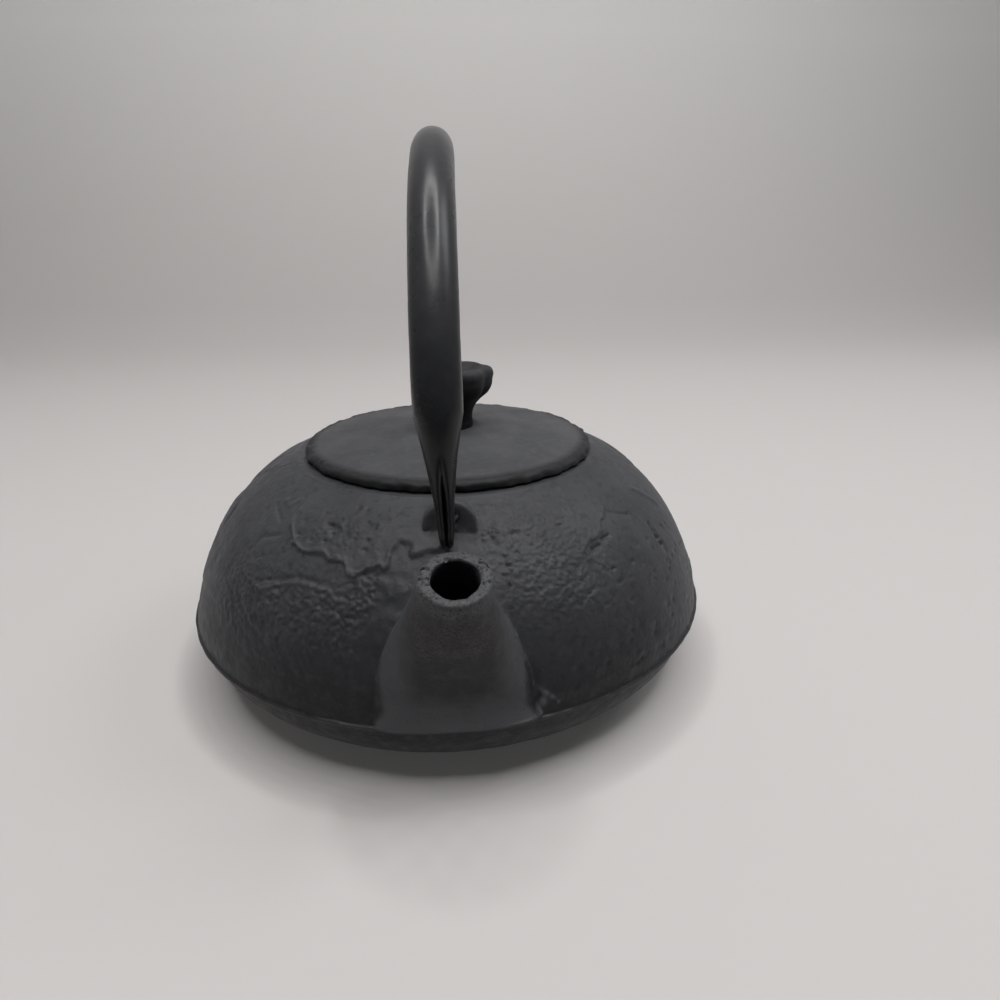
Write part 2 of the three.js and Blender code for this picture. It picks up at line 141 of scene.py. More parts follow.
# %% Turn an outline about the kettle's axis
def wheel(steps, crowding=0.0):
    """Angles round the axis, from the spout's side on. Crowding draws them together in front."""
    even = np.linspace(0, 2 * math.pi, steps, endpoint=False)
    return even - crowding * np.sin(even)


def turned(outline, angles, swell=None):
    """Rings about the axis from (radius, height) points. Swell pushes them out along their normals."""
    outline = np.asarray(outline, float)
    reach, height = (np.repeat(outline[:, i, None], len(angles), 1) for i in (0, 1))
    if swell is not None:
        along = np.gradient(outline, axis=0)
        along /= np.linalg.norm(along, axis=1)[:, None] + 1e-12
        reach = reach + swell * along[:, 1, None]
        height = height - swell * along[:, 0, None]
    return np.stack([reach * np.sin(angles), -reach * np.cos(angles), height], 2)


def bezier(first, pull_one, pull_two, last, steps):
    """Points on a curve from first to last, drawn towards two others."""
    t = np.linspace(0, 1, steps)[:, None]
    first, pull_one, pull_two, last = (np.asarray(p, float) for p in (first, pull_one, pull_two, last))
    return ((1 - t) ** 3 * first + 3 * t * (1 - t) ** 2 * pull_one
            + 3 * t * t * (1 - t) * pull_two + t ** 3 * last)


def smooth(low, high, value):
    """Rises softly from 0 at low to 1 at high."""
    t = np.clip((np.asarray(value, float) - low) / (high - low), 0, 1)
    return t * t * (3 - 2 * t)


def unit(vectors):
    """The same directions, each one long."""
    return vectors / np.linalg.norm(vectors, axis=-1, keepdims=True)


def walk(line):
    """Length walked along a line at each of its points."""
    return np.concatenate([[0], np.cumsum(np.linalg.norm(np.diff(line, axis=0), axis=1))])


# %% [markdown]
# Noise gives the iron its accidents. Blender's own noise function takes one point at a time,
# which is quick enough for a hundred thousand points, and it gives the same answer every run.

# %% Sample noise over many points
def rough(points, size, seed=0.0):
    """Noise from -1 to 1 whose lumps are about size across. Size is one length, or one per axis."""
    points = np.asarray(points, float)
    scaled = (points / size + seed).reshape(-1, 3)
    values = [noise.noise(Vector(p)) for p in scaled.tolist()]
    return np.array(values).reshape(points.shape[:-1])


# %% Read and move the corners of a mesh
def read_out(items, what):
    """A place or direction of every corner or face, one row for each."""
    values = np.empty(len(items) * 3)
    items.foreach_get(what, values)
    return values.reshape(-1, 3)


def corners_of(thing):
    """A piece's corners in millimetres."""
    return read_out(thing.data.vertices, "co") / MM


def move_corners(thing, corners):
    """Puts a piece's corners at new places, in millimetres."""
    thing.data.vertices.foreach_set("co", (corners * MM).ravel())
    thing.data.update()


# %% Join, cut and shade solids
def settle(thing):
    """Makes what a piece's modifiers show into its own mesh."""
    done = thing.evaluated_get(bpy.context.evaluated_depsgraph_get())
    mesh = bpy.data.meshes.new_from_object(done)
    thing.modifiers.clear()
    spare, thing.data = thing.data, mesh
    bpy.data.meshes.remove(spare)


def work(body, tool, operation):
    """Joins tool to body or cuts it away, and throws the tool away."""
    step = body.modifiers.new(operation, "BOOLEAN")
    step.operation = operation
    step.solver = "MANIFOLD"
    step.object = tool
    settle(body)
    bpy.data.objects.remove(tool)


def ease(thing, sharp_above=55):
    """Shades a piece smoothly, apart from edges that are really sharp."""
    thing.data.polygons.foreach_set("use_smooth", [True] * len(thing.data.polygons))
    thing.data.set_sharp_from_angle(angle=math.radians(sharp_above))


# %% [markdown]
# ## The pot's outline
# The pot was cast in a mould of two halves that met at the widest line, the ridge. Above it the
# dome bulges out and then lies over towards the lid; below it the underside runs in to a flat
# base. The outline is the same one that the exact solid has, with more points on it.

# %% Draw the outline of the pot
RIDGE_RADIUS, RIDGE_HEIGHT, RIDGE_LIP = 74.4, 20.0, 0.6
SEAT_HEIGHT = 61.8
BASE_RADIUS, FOOT = 48.0, 1.0
WALL = 3.4
COLLAR_INNER, COLLAR_WIDTH = 41.5, 1.4
MOUTH_RADIUS = 34.0

dome_foot = np.array([RIDGE_RADIUS - RIDGE_LIP, RIDGE_HEIGHT + RIDGE_LIP])
dome_crest = np.array([COLLAR_INNER + COLLAR_WIDTH, SEAT_HEIGHT - 0.3])
dome_rise = dome_crest - dome_foot
DOME_ROWS = 190
dome = bezier(dome_foot, dome_foot + dome_rise * (0.15, 0.63), dome_foot + dome_rise * (0.62, 0.87),
              dome_crest, DOME_ROWS)
UNDER_ROWS = 12
under_foot = np.array([BASE_RADIUS, FOOT])
under_top = np.array([RIDGE_RADIUS - 2 * RIDGE_LIP, RIDGE_HEIGHT - RIDGE_LIP])
under_pull = np.array([RIDGE_RADIUS - WALL, FOOT + WALL])
underside = bezier(under_foot, under_foot + (under_pull - under_foot) * 2 / 3,
                   under_top + (under_pull - under_top) * 2 / 3, under_top, UNDER_ROWS)
dome_length = walk(dome)
print("the dome's outline is", round(float(dome_length[-1]), 1), "mm long")

# %% [markdown]
# ## The casting skin
# The dome isn't smooth. Its upper part carries raised plates of skin with wandering edges, the
# metal is crinkled on both sides of the spout, and the right side is pitted. A bump texture could
# fake that, but its outline would stay smooth and it would vanish from the mesh, so the skin is
# real relief. The dome is unrolled into a map first: across is the angle from the spout in
# degrees, up is the distance from the ridge in millimetres. Features are then drawn on that map.

# %% Unroll the dome into a map
COLUMNS = 800
CROWDING = 0.5
MAP_RADIUS = 60.0
angles = wheel(COLUMNS, CROWDING)
around_degrees = np.degrees((angles + math.pi) % (2 * math.pi) - math.pi)
across, upwards = np.meshgrid(around_degrees, dome_length)
flat = np.stack([np.radians(across) * MAP_RADIUS, upwards], 2)
ground = turned(dome, angles)


def on_map(places):
    """Map places given as (degrees, millimetres up), in millimetres both ways."""
    return np.asarray(places, float) * (math.radians(1) * MAP_RADIUS, 1)


def away(places, closed=False):
    """Each map point's distance from a line through places, and whether it is inside a closed one."""
    line = on_map(places)
    starts, ends = (line, np.roll(line, -1, 0)) if closed else (line[:-1], line[1:])
    nearest = np.full(flat.shape[:2], 1e9)
    inside = np.zeros(flat.shape[:2], bool)
    for start, end in zip(starts, ends):
        run = end - start
        share = np.clip(((flat - start) @ run) / (run @ run), 0, 1)
        nearest = np.minimum(nearest, np.linalg.norm(flat - start - share[..., None] * run, axis=2))
        if closed:
            crossed = (start[1] > flat[..., 1]) != (end[1] > flat[..., 1])
            rise = run[1] if abs(run[1]) > 1e-9 else 1e-9
            inside ^= crossed & (flat[..., 0] < start[0] + run[0] * (flat[..., 1] - start[1]) / rise)
    return nearest, inside


# %% Raise the plates of skin
wander = 0.8 * rough(ground, 2.6, 5.1) + 0.45 * rough(ground, 1.2, 9.4)


def plate(places, height, welt, edge=0.35):
    """A raised patch with a wandering edge that stands up in a welt."""
    distance, inside = away(places, closed=True)
    deep = np.where(inside, distance, -distance) + wander
    return height * smooth(-edge, edge, deep) + welt * np.exp(-((deep - 0.6) / 0.55) ** 2)


LEFT_PLATE = [(-46, 47), (-44.6, 40.2), (-39.3, 36), (-35.5, 34.9), (-30.7, 35.8), (-28.3, 34.8),
              (-23.9, 34.8), (-23, 32.8), (-21, 31.9), (-19.4, 32.6), (-18.2, 34.4), (-14.4, 34.5),
              (-13.2, 35.5), (-13.2, 39.2), (-11.7, 41.5), (-9.5, 40.3), (-8.8, 38.1), (-2.4, 39.1),
              (1, 46), (1, 60), (-46, 60)]
RIGHT_PLATE = [(5, 60), (6, 45), (12, 38), (22, 31), (30, 31.5), (34.3, 34.8), (37.3, 36), (40.3, 36.4),
               (41.6, 39), (46, 40), (48, 46), (47, 60)]
relief = plate(LEFT_PLATE, 0.55, 0.26)
relief += plate(RIGHT_PLATE, 0.3, 0.12) * smooth(26, 36, across) * smooth(56, 46, upwards)
patchy = rough(ground, (19, 19, 11), 3.3) + 0.35 * rough(ground, 6, 1.2)
behind = smooth(62, 80, np.abs(across))
relief += 0.35 * behind * smooth(0.0, 0.22, patchy + 0.12 * wander)
relief *= smooth(dome_length[-1] - 1.5, dome_length[-1] - 11, upwards)
print("plates raised by up to", round(float(relief.max()), 2), "mm")

# %% Crinkle the skin beside the spout
CRINKLES = [  # strength, middle and spread on the map
    (0.9, (-31, 21), (17, 8)), (1, (-14, 23), (12, 8)), (0.8, (-12, 31), (6, 5)),
    (0.7, (-48, 22), (12, 10)), (0.8, (18, 33), (12, 9)), (0.8, (28, 25), (14, 8)),
    (1, (13, 46), (9, 8)), (0.7, (27, 44), (12, 7)), (0.4, (-26, 43), (14, 6)),
]


def patch(middle, spread):
    """A soft mask round a place on the map."""
    off = (flat - on_map(middle)) / spread
    return np.exp(-(off ** 2).sum(2))


crinkled = sum(strength * patch(middle, spread) for strength, middle, spread in CRINKLES)
crinkled = np.clip(crinkled, 0, 1) + 0.3 * behind * smooth(0.0, 0.5, rough(ground, 24, 7.7))
print("crinkled share of the dome:", round(float((crinkled > 0.3).mean()), 2))
bent_ground = ground + 0.9 * wander[..., None]
leftish = smooth(10, -10, across)
flakes = (0.4 + 0.6 * leftish) * smooth(-0.15, 0.15, rough(bent_ground, (5.2, 5.2, 3.6), 2.0))
flakes += 0.7 * leftish * smooth(-0.2, 0.2, rough(bent_ground, (2.6, 2.6, 2.0), 6.0))
flakes += rough(bent_ground, (1.5, 1.5, 1.2), 3.6) + 1.4 * rough(ground, 0.95, 8.1)
relief += (0.15 + 0.07 * leftish) * crinkled * flakes
relief += 0.05 * rough(ground, 1.1, 8.8) + 0.02 * rough(ground, 0.75, 4.4)

# %% Draw single welts, steps, dents and pits
WELTS = [  # places on the map, height or depth, half width
    ([(-45, 24), (-41.5, 24), (-39.2, 25.9), (-33, 28.2), (-28.3, 28.1), (-25.7, 27.8), (-23.2, 26)],
     0.3, 0.6),
    ([(-44, 25.4), (-39.5, 27.3), (-33.5, 29.6), (-27.5, 29.2)], -0.25, 0.7),
    ([(-44.5, 39.5), (-43.5, 44), (-45, 50)], 0.14, 0.9),
    ([(-48, 47.5), (-50, 44.5), (-53.5, 45.5)], 0.3, 0.7),
    ([(-56, 37.8), (-58.1, 41)], -0.35, 0.7),
    ([(-52.4, 30.3), (-51.1, 34.5), (-45.5, 37)], -0.35, 0.7),
    ([(-49, 40.4), (-55.6, 43)], -0.3, 0.7),
    ([(58.8, 30.8), (58.1, 27.7), (58.3, 24.2)], -0.95, 0.75),
    ([(65.9, 40.2), (69, 35.9), (72.2, 31.2)], 0.5, 1.0),
    ([(52.7, 36.6), (46, 40.4)], -0.3, 0.6),
    ([(38.5, 34.6), (41, 34.8)], -0.65, 0.6),
    ([(34.5, 33.2), (36.5, 33.4)], -0.65, 0.7),
    ([(-33, 43), (-29.5, 42.6)], -0.4, 0.8),
    ([(-22, 45), (-19.5, 44.2)], -0.35, 0.8),
    ([(14, 42), (16.5, 41.6)], -0.35, 0.9),
]
for places, height, width in WELTS:
    distance, _ = away(places)
    relief += height * np.exp(-((distance + 0.35 * wander) / width) ** 2)
PITS = [(37.3, 27.1), (37.3, 23.5), (40.8, 23.1), (44.9, 24), (48.7, 23.1), (55.6, 14.5), (38.8, 18.4),
        (33.2, 16.3), (50.7, 8.3), (36.5, 11.9), (43.1, 8), (32.7, 9.9), (39.3, 4.2), (25.4, 10.6),
        (22.5, 8.6), (34.9, 4.2), (-31, 38.8), (-26, 41.5), (-35, 38.2), (-20, 40.6), (29, 41.2)]
dice = np.random.default_rng(7)
strays = np.stack([dice.uniform(80, 280, 60), dice.uniform(4, 46, 60)], 1)
strays[:, 0] = (strays[:, 0] + 180) % 360 - 180
on_right = np.stack([dice.uniform(26, 78, 60), dice.uniform(3, 30, 60)], 1)
on_left = np.stack([dice.uniform(-43, -8, 18), dice.uniform(37, 51, 18)], 1)
pits = PITS + strays.tolist() + on_right.tolist() + on_left.tolist()
print(len(WELTS), "welts and dents,", len(pits), "pits")
for place in pits:
    wide, deep = dice.uniform(0.45, 1.0), dice.uniform(0.12, 0.42)
    off = flat - on_map(place)
    near = np.abs(off[..., 0]) < 4
    bent = np.hypot(off[..., 0][near], off[..., 1][near] * 1.25) + 0.3 * wander[near]
    relief[near] -= deep * np.exp(-(bent / wide) ** 2)

# %% Add slow unevenness and keep the rims true
relief += 0.32 * rough(ground, 30, 1.7) + 0.16 * rough(ground, 11, 2.9)
streaks = rough(np.stack([flat[..., 0], flat[..., 1] * 0.2, 0 * flat[..., 0]], 2), 3.4, 1.9)
relief += 0.09 * (1 - smooth(10, 22, upwards)) * streaks
relief -= 0.45 * np.exp(-((across + 84) / 24) ** 2) * smooth(4, 22, upwards)
relief -= 1.9 * smooth(15.5, 11, np.abs(across)) * smooth(14, 10, upwards)
kept = smooth(0.2, 3.2, upwards) * smooth(0.1, 2.0, dome_length[-1] - upwards)
relief *= kept
print("relief runs from", round(float(relief.min()), 2), "to", round(float(relief.max()), 2), "mm")

# %% [markdown]
# ## Turn the pot
# The rows of the outline are stacked from the middle of the base, over the ridge and the dome, to
# the middle of the seat. The ridge is a parting line, so it wavers a little. The wheel's steps are
# crowded together on the spout's side, where the photograph shows the most.

# %% Stack the pot's rows into one solid
foot_rows = [(0.01, 0), (20, 0), (BASE_RADIUS - 1.2, 0), (BASE_RADIUS - 0.5, 0.06), (BASE_RADIUS - 0.1, 0.45)]
ridge_rows = [(RIDGE_RADIUS - 0.32, RIDGE_HEIGHT - 0.45), (RIDGE_RADIUS, RIDGE_HEIGHT - 0.2),
              (RIDGE_RADIUS, RIDGE_HEIGHT + 0.2), (RIDGE_RADIUS - 0.32, RIDGE_HEIGHT + 0.45)]
collar_rows = [(COLLAR_INNER + out, SEAT_HEIGHT + up) for out, up in
               ((1, -0.04), (0.75, 0.1), (0.5, 0.18), (0.25, 0.16), (0.08, 0))]
seat_rows = [(COLLAR_INNER - 0.1, SEAT_HEIGHT), (0.01, SEAT_HEIGHT)]
outline = np.vstack([foot_rows, underside, ridge_rows, dome, collar_rows, seat_rows])
under = slice(len(foot_rows), len(foot_rows) + UNDER_ROWS)
ridge = slice(under.stop, under.stop + len(ridge_rows))
swell = np.zeros((len(outline), COLUMNS))
swell[ridge.stop:ridge.stop + DOME_ROWS] = relief
under_ground = turned(underside, angles)
rising, falling = np.linspace(0, 1, UNDER_ROWS), np.linspace(1, 0, UNDER_ROWS)
under_fade = (smooth(0, 0.2, rising) * smooth(0, 0.2, falling))[:, None]
swell[under] = under_fade * (0.16 * rough(under_ground, 9, 0.4) + 0.06 * rough(under_ground, 2.2, 3.1))
swell[ridge] = 0.14 * rough(turned(outline[ridge], angles), 3.5, 6.6)
pot = make("pot_casting", *skin(turned(outline, angles, swell)))
print("the turned pot has", len(pot.data.polygons), "faces")

# %% [markdown]
# ## The spout
# The spout stands on the ridge like a buttress: nearly square at its foot, round at its mouth,
# with a flat front. Each ring is a superellipse between a front and a back line. Its left flank
# bulges lower down than its right one, as it did on the core that was rammed for it.

# %% Shape the spout
LIP_RADIUS, HOLE_RADIUS = 7.05, 4.85
MOUTH_MIDDLE = np.array([0.7, -77.5, 58.4])
TILT = math.radians(21)
MOUTH_AHEAD = np.array([0, -math.cos(TILT), -math.sin(TILT)])
MOUTH_OUT = np.array([0, -math.sin(TILT), math.cos(TILT)])
ROOT_FRONT, ROOT_DEPTH, ROOT_HALF_WIDTH = -74.9, 29.9, 23.3
LEFT_FLARE, RIGHT_FLARE = 1.12, 1.42


def spout_edge(root_y, side, bend):
    """The front or back line, from the ridge up to the lip, as (y, z) points."""
    root = np.array([root_y, RIDGE_HEIGHT])
    lip = (MOUTH_MIDDLE + side * LIP_RADIUS * MOUTH_AHEAD)[1:]
    rise = lip - root
    return lambda steps: bezier(root, root + rise * bend[0], root + rise * bend[1], lip, steps)


spout_front = spout_edge(ROOT_FRONT, 1, ((0.14, 0.33), (0.58, 0.69)))
spout_back = spout_edge(ROOT_FRONT + ROOT_DEPTH, -1, ((0.12, 0.34), (0.64, 0.58)))


def squared(wave, power):
    """A sine or cosine pushed out towards the corners of a square."""
    return np.sign(wave) * np.abs(wave) ** power


def spout_rings(steps, around, root_wall=0.0, lip_wall=0.0):
    """Rings from the root to the lip, drawn in by a wall that changes on the way up."""
    turn = wheel(around)
    rings = []
    for share, front, back in zip(np.linspace(0, 1, steps), spout_front(steps), spout_back(steps)):
        wall = root_wall + (lip_wall - root_wall) * share
        middle, half = (front + back) / 2, (front - back) / 2
        half = half * (1 - wall / np.linalg.norm(half))
        power = 2 / (2.45 - 0.45 * share + 0.55 * math.exp(-4 * share))
        forward, aside = squared(np.cos(turn), power), squared(np.sin(turn), power)
        flare = np.where(aside < 0, LEFT_FLARE, RIGHT_FLARE)
        width = LIP_RADIUS - wall + (ROOT_HALF_WIDTH - LIP_RADIUS) * (1 - share) ** flare
        rings.append(np.stack([MOUTH_MIDDLE[0] * share ** 2 + aside * width,
                               middle[0] + forward * half[0], middle[1] + forward * half[1]], 1))
    return np.array(rings)


def lip_ring(ring, radius, out):
    """A ring drawn in to a radius about the mouth and pushed out of it."""
    return MOUTH_MIDDLE + unit(ring - MOUTH_MIDDLE) * radius + MOUTH_OUT * out


# %% Cast the spout onto the pot
SPOUT_AROUND = 132
LIP_PROFILE = ((7.3, 0.1), (7.22, 0.28), (7.05, 0.45), (6.75, 0.58),
               (6.35, 0.64), (5.9, 0.66), (5.5, 0.64), (5.15, 0.58))  # radius, and how far out
outside = spout_rings(150, SPOUT_AROUND)
outside = np.concatenate([outside[:9], outside[9::3][:-1], outside[-1:]])
outward = unit(outside - outside.mean(1, keepdims=True))
above_ridge = outside[..., 2] - RIDGE_HEIGHT
unevenness = 0.14 * rough(outside, 9, 3.7) + 0.05 * rough(outside, 2.0, 1.1)
unevenness -= 0.4 * np.exp(-((above_ridge - 0.95 + 0.2 * rough(outside, 6, 0.7)) / 0.24) ** 2)
scooped = smooth(0.3, 5.2, above_ridge) * smooth(35, 9, above_ridge) * smooth(0.2, 0.9, -outward[..., 1])
unevenness -= 2.0 * scooped
unevenness += 0.28 * smooth(-2.2, -0.9, (outside - MOUTH_MIDDLE) @ MOUTH_OUT)
outside = outside + outward * unevenness[..., None]
rim = np.array([lip_ring(outside[-1], radius, out) for radius, out in LIP_PROFILE])
rim_marks = 0.2 * rough(rim, 2.4, 5.0) + 0.13 * rough(rim, 0.9, 2.0)
rim_marks -= 0.5 * smooth(0.2, 0.42, rough(rim, 1.1, 7.1))
rim = rim + MOUTH_OUT * rim_marks[..., None]
added = make("spout_outside", *skin(np.concatenate([outside, rim])))
print("the spout has", len(added.data.polygons), "faces")

# %% [markdown]
# ## The ears
# Two upright plates stand on the shoulder in front of and behind the lid, round on top, each with
# a hole for a hook of the bail. Their edges were rounded by the mould, so each plate is a stack of
# outlines that grow and shrink again, as the layers of a pillow do.

# %% Cast the ears onto the pot
EAR_INNER, EAR_THICKNESS, EAR_HALF_WIDTH = 48.22, 3.4, 6.25
PIVOT = frame["joints"][0]["pos_m"][2] / MM
EAR_HOLE, EAR_ROOF, EAR_SUNK = 2.1, 2.0, 12.0
EAR_LAYERS = ((0, 0.7), (0.12, 0.35), (0.35, 0.1), (0.75, 0),
              (2.65, 0), (3.05, 0.1), (3.28, 0.35), (3.4, 0.7))  # how deep, and how far drawn in
ear_top = PIVOT + EAR_HOLE + EAR_ROOF
arc = np.linspace(0, math.pi, 40)
for side in (-1, 1):
    layers = []
    for depth, inset in EAR_LAYERS:
        half = EAR_HALF_WIDTH - inset
        upper = np.stack([half * np.cos(arc), ear_top - EAR_HALF_WIDTH + half * np.sin(arc)], 1)
        lower = np.stack([np.linspace(-half, half, 12), np.full(12, ear_top - EAR_SUNK)], 1)
        layers.append(np.insert(np.vstack([upper, lower]), 1, side * (EAR_INNER + depth), axis=1))
    layers = np.array(layers)
    layers[..., 0] += 0.12 * rough(layers, 3.0, 2.2 + side)
    layers[..., 1] += 0.05 * rough(layers, 1.5, 1.4 + side)
    work(added, make("ear", *skin(layers)), "UNION")
work(pot, added, "UNION")
print("ears stand", round(ear_top, 1), "mm high")

# %% [markdown]
# ## Hollow the pot
# A founder puts a core in the mould to keep the pot hollow. Here the same core is cut away: the
# outline moved in by the wall, open through the mouth, then the bore of the spout and the two
# holes in the ears.

# %% Cut out the hollow, the bore and the holes
shell = np.vstack([underside[::3], dome[::4], dome[-1:]])
along = unit(np.gradient(shell, axis=0))
lining = shell + WALL * np.stack([-along[:, 1], along[:, 0]], 1)
lining[0, 1] = WALL
mouth_rows = [(MOUTH_RADIUS, lining[-1, 1]), (MOUTH_RADIUS, SEAT_HEIGHT - 0.35),
              (MOUTH_RADIUS + 0.3, SEAT_HEIGHT + 0.2), (MOUTH_RADIUS + 0.3, SEAT_HEIGHT + 4),
              (0.01, SEAT_HEIGHT + 4)]
core_outline = np.vstack([[(0.01, WALL)], lining, mouth_rows])
core_angles = wheel(168)
core_ground = turned(core_outline, core_angles)
below_mouth = smooth(2, 6, SEAT_HEIGHT - 2 - core_outline[:, 1])[:, None]
core_swell = 0.22 * rough(core_ground, 7, 4.0) * below_mouth
core = make("core", *skin(turned(core_outline, core_angles, core_swell)))

BORE_FLARE = ((0, 0), (0.05, 0.3), (0.25, 0.52), (0.6, 0.72), (0.9, 2.2))  # wider by, and how far out
bore = spout_rings(26, 72, WALL, LIP_RADIUS - HOLE_RADIUS)
flare_out = [lip_ring(bore[-1], HOLE_RADIUS + wider, out) for wider, out in BORE_FLARE]
bore = np.concatenate([bore[:-1], flare_out])
bore[-6:] += 0.1 * rough(bore[-6:], 2.2, 9.0)[..., None]
work(core, make("bore", *skin(bore)), "UNION")

DRILL = ((-3.2, 0.35), (0, 0.3), (0.3, 0), (3.1, 0), (3.4, 0.3), (3.7, 0.35))  # how deep, and wider by
turn = wheel(40)
for side in (-1, 1):
    drill = []
    for out, wider in DRILL:
        reach = EAR_HOLE + wider
        drill.append(np.stack([reach * np.cos(turn), np.full(40, side * (EAR_INNER + out)),
                               PIVOT + reach * np.sin(turn)], 1))
    work(core, make("drill", *skin(drill)), "UNION")
work(pot, core, "DIFFERENCE")
print("the hollow pot has", len(pot.data.polygons), "faces")

# %% [markdown]
# ## The crease where spout and dome meet
# The sand of the mould rounds the left crease softly. On the right the two parts of the core
# didn't close tightly, so a thin fin of metal runs down the crease and ends in a ragged lump just
# above the ridge. The sharp edges between spout and dome are found first, then the corners near
# them are relaxed towards their neighbours, and last the fin is raised.

# %% Find the crease
CREASE_ANGLE = 14
corner = corners_of(pot)
edit = bmesh.new()
edit.from_mesh(pot.data)
crease = [e for e in edit.edges if e.is_manifold and e.calc_face_angle_signed() < -math.radians(CREASE_ANGLE)]
crease = sorted({v.index for e in crease for v in e.verts})
edit.free()
spots = corner[crease]
beside = (spots[:, 1] < -50) & (spots[:, 2] > 20.9) & (spots[:, 2] < 57)
on_dome = np.hypot(spots[:, 0], spots[:, 1]) > np.interp(spots[:, 2], dome[:, 1], dome[:, 0]) - 1.6
near_spout = np.abs(spots[:, 0]) < np.interp(spots[:, 2], (20, 32, 46, 57), (25, 21.5, 15, 11))
spots = spots[beside & on_dome & near_spout]
crease_tree = kdtree.KDTree(len(spots))
for i, spot in enumerate(spots):
    crease_tree.insert(spot, i)
crease_tree.balance()
region = np.flatnonzero((corner[:, 1] < -45) & (np.abs(corner[:, 0]) < 30) & (corner[:, 2] > 20.6))
gap_to_crease = np.full(len(corner), 99.0)
for i in region:
    gap_to_crease[i] = crease_tree.find(corner[i])[2]
print("the crease has", len(spots), "corners")

# %% Relax it
LEFT_REACH, RIGHT_REACH, ROUNDS = 2.6, 1.1, 14
links = np.empty(len(pot.data.edges) * 2, np.int32)
pot.data.edges.foreach_get("vertices", links)
links = links.reshape(-1, 2)
reach = np.where(corner[:, 0] < 0, LEFT_REACH, RIGHT_REACH)
pull = 0.5 * (1 - smooth(0.25, 1, gap_to_crease / reach))
moving = pull > 0.001
links = links[moving[links].any(1)]
degree = np.bincount(links.ravel(), minlength=len(corner))[:, None]
for _ in range(ROUNDS):
    total = np.zeros_like(corner)
    np.add.at(total, links[:, 0], corner[links[:, 1]])
    np.add.at(total, links[:, 1], corner[links[:, 0]])
    corner[moving] += pull[moving, None] * (total[moving] / degree[moving] - corner[moving])
print("relaxed", int(moving.sum()), "corners")

# %% Raise the fin and its lump
LUMPS = ((17.9, 27.0, 0.8, 0.35), (18.7, 26.6, 0.7, 0.3), (19.5, 25.8, 0.65, 0.42), (20.3, 25.4, 0.6, 0.25),
         (21.1, 24.5, 0.6, 0.4), (21.9, 23.9, 0.5, 0.2), (22.6, 23.0, 0.5, 0.3), (18.7, 24.0, 1.2, 0.5))
right = smooth(5, 9, corner[:, 0])
fin = 0.55 * right * np.exp(-(gap_to_crease / 0.5) ** 2)
close = np.flatnonzero(fin > 0.004)
fin[close] *= 0.75 + 0.9 * rough(corner[close], 2.2, 4.2)
lump = np.zeros(len(corner))
for x, z, size, height in LUMPS:
    off = (corner[:, 0] - x) ** 2 + (corner[:, 2] - z) ** 2
    lump += height * np.exp(-off / size ** 2) * (corner[:, 1] < -62)
move_corners(pot, corner + read_out(pot.data.vertices, "normal") * (fin + lump)[:, None])
print("the fin stands up to", round(float(fin.max()), 2), "mm")


# %% Thin the mesh out and keep it clear of the box and the lid
def thin_out(thing, triangles):
    """Takes out triangles where the surface is smooth, until so many are left."""
    thing.modifiers.new("flat_to_fewer", "TRIANGULATE")
    step = thing.modifiers.new("fewer", "DECIMATE")
    thing.data.calc_loop_triangles()
    step.ratio = triangles / len(thing.data.loop_triangles)
    settle(thing)


def hold_in(thing):
    """Presses in whatever stands past the box of the exact solids by a hair."""
    low, high = (np.array(list(corner)) / MM for corner in cad_box)
    move_corners(thing, np.clip(corners_of(thing), low, high))


def flatten_seat(thing):
    """Presses lumps out of the seat round the mouth, so that the lid lies clear of it."""
    corners = corners_of(thing)
    on_seat = np.hypot(corners[:, 0], corners[:, 1]) < COLLAR_INNER + 2
    corners[on_seat, 2] = np.minimum(corners[on_seat, 2], SEAT_HEIGHT + LUMP_LEFT)
    move_corners(thing, corners)


POT_TRIANGLES, LUMP_LEFT = 192000, 0.06
thin_out(pot, POT_TRIANGLES)
hold_in(pot)
flatten_seat(pot)
ease(pot)
print("the pot ends with", len(pot.data.polygons), "triangles")

# %% [markdown]
# ## The lid
# The lid is a loose crowned plate, turned smooth on top, with a ring below that drops into the
# mouth. It was cast thinner and cleaner than the pot, so it only rolls a little and its rim has
# small lumps from filing. It lies a little to the right, because it has play in its seat.

# %% Turn the lid
LID_SHIFT = 0.8
LID_RADIUS, LID_THICKNESS, LID_RIM_HEIGHT, LID_CROWN = 40.4, 2.6, 2.4, 3.3
LID_BOTTOM = SEAT_HEIGHT + 0.3
LID_RIM_TOP = LID_BOTTOM + LID_RIM_HEIGHT
FLANGE_OUTER, FLANGE_INNER, FLANGE_DEPTH = 32.8, 30.2, 5.5
TANG_HOLE = 2.6


def crown(radius):
    """Height of the lid's top so far from its middle."""
    return LID_RIM_TOP + LID_CROWN * (1 - (radius / LID_RADIUS) ** 2)


def rounded(middle, radius, start, end, steps=6):
    """Points on an arc of an outline, with its angles in degrees."""
    turn = np.radians(np.linspace(start, end, steps))
    return np.stack([middle[0] + radius * np.cos(turn), middle[1] + radius * np.sin(turn)], 1)


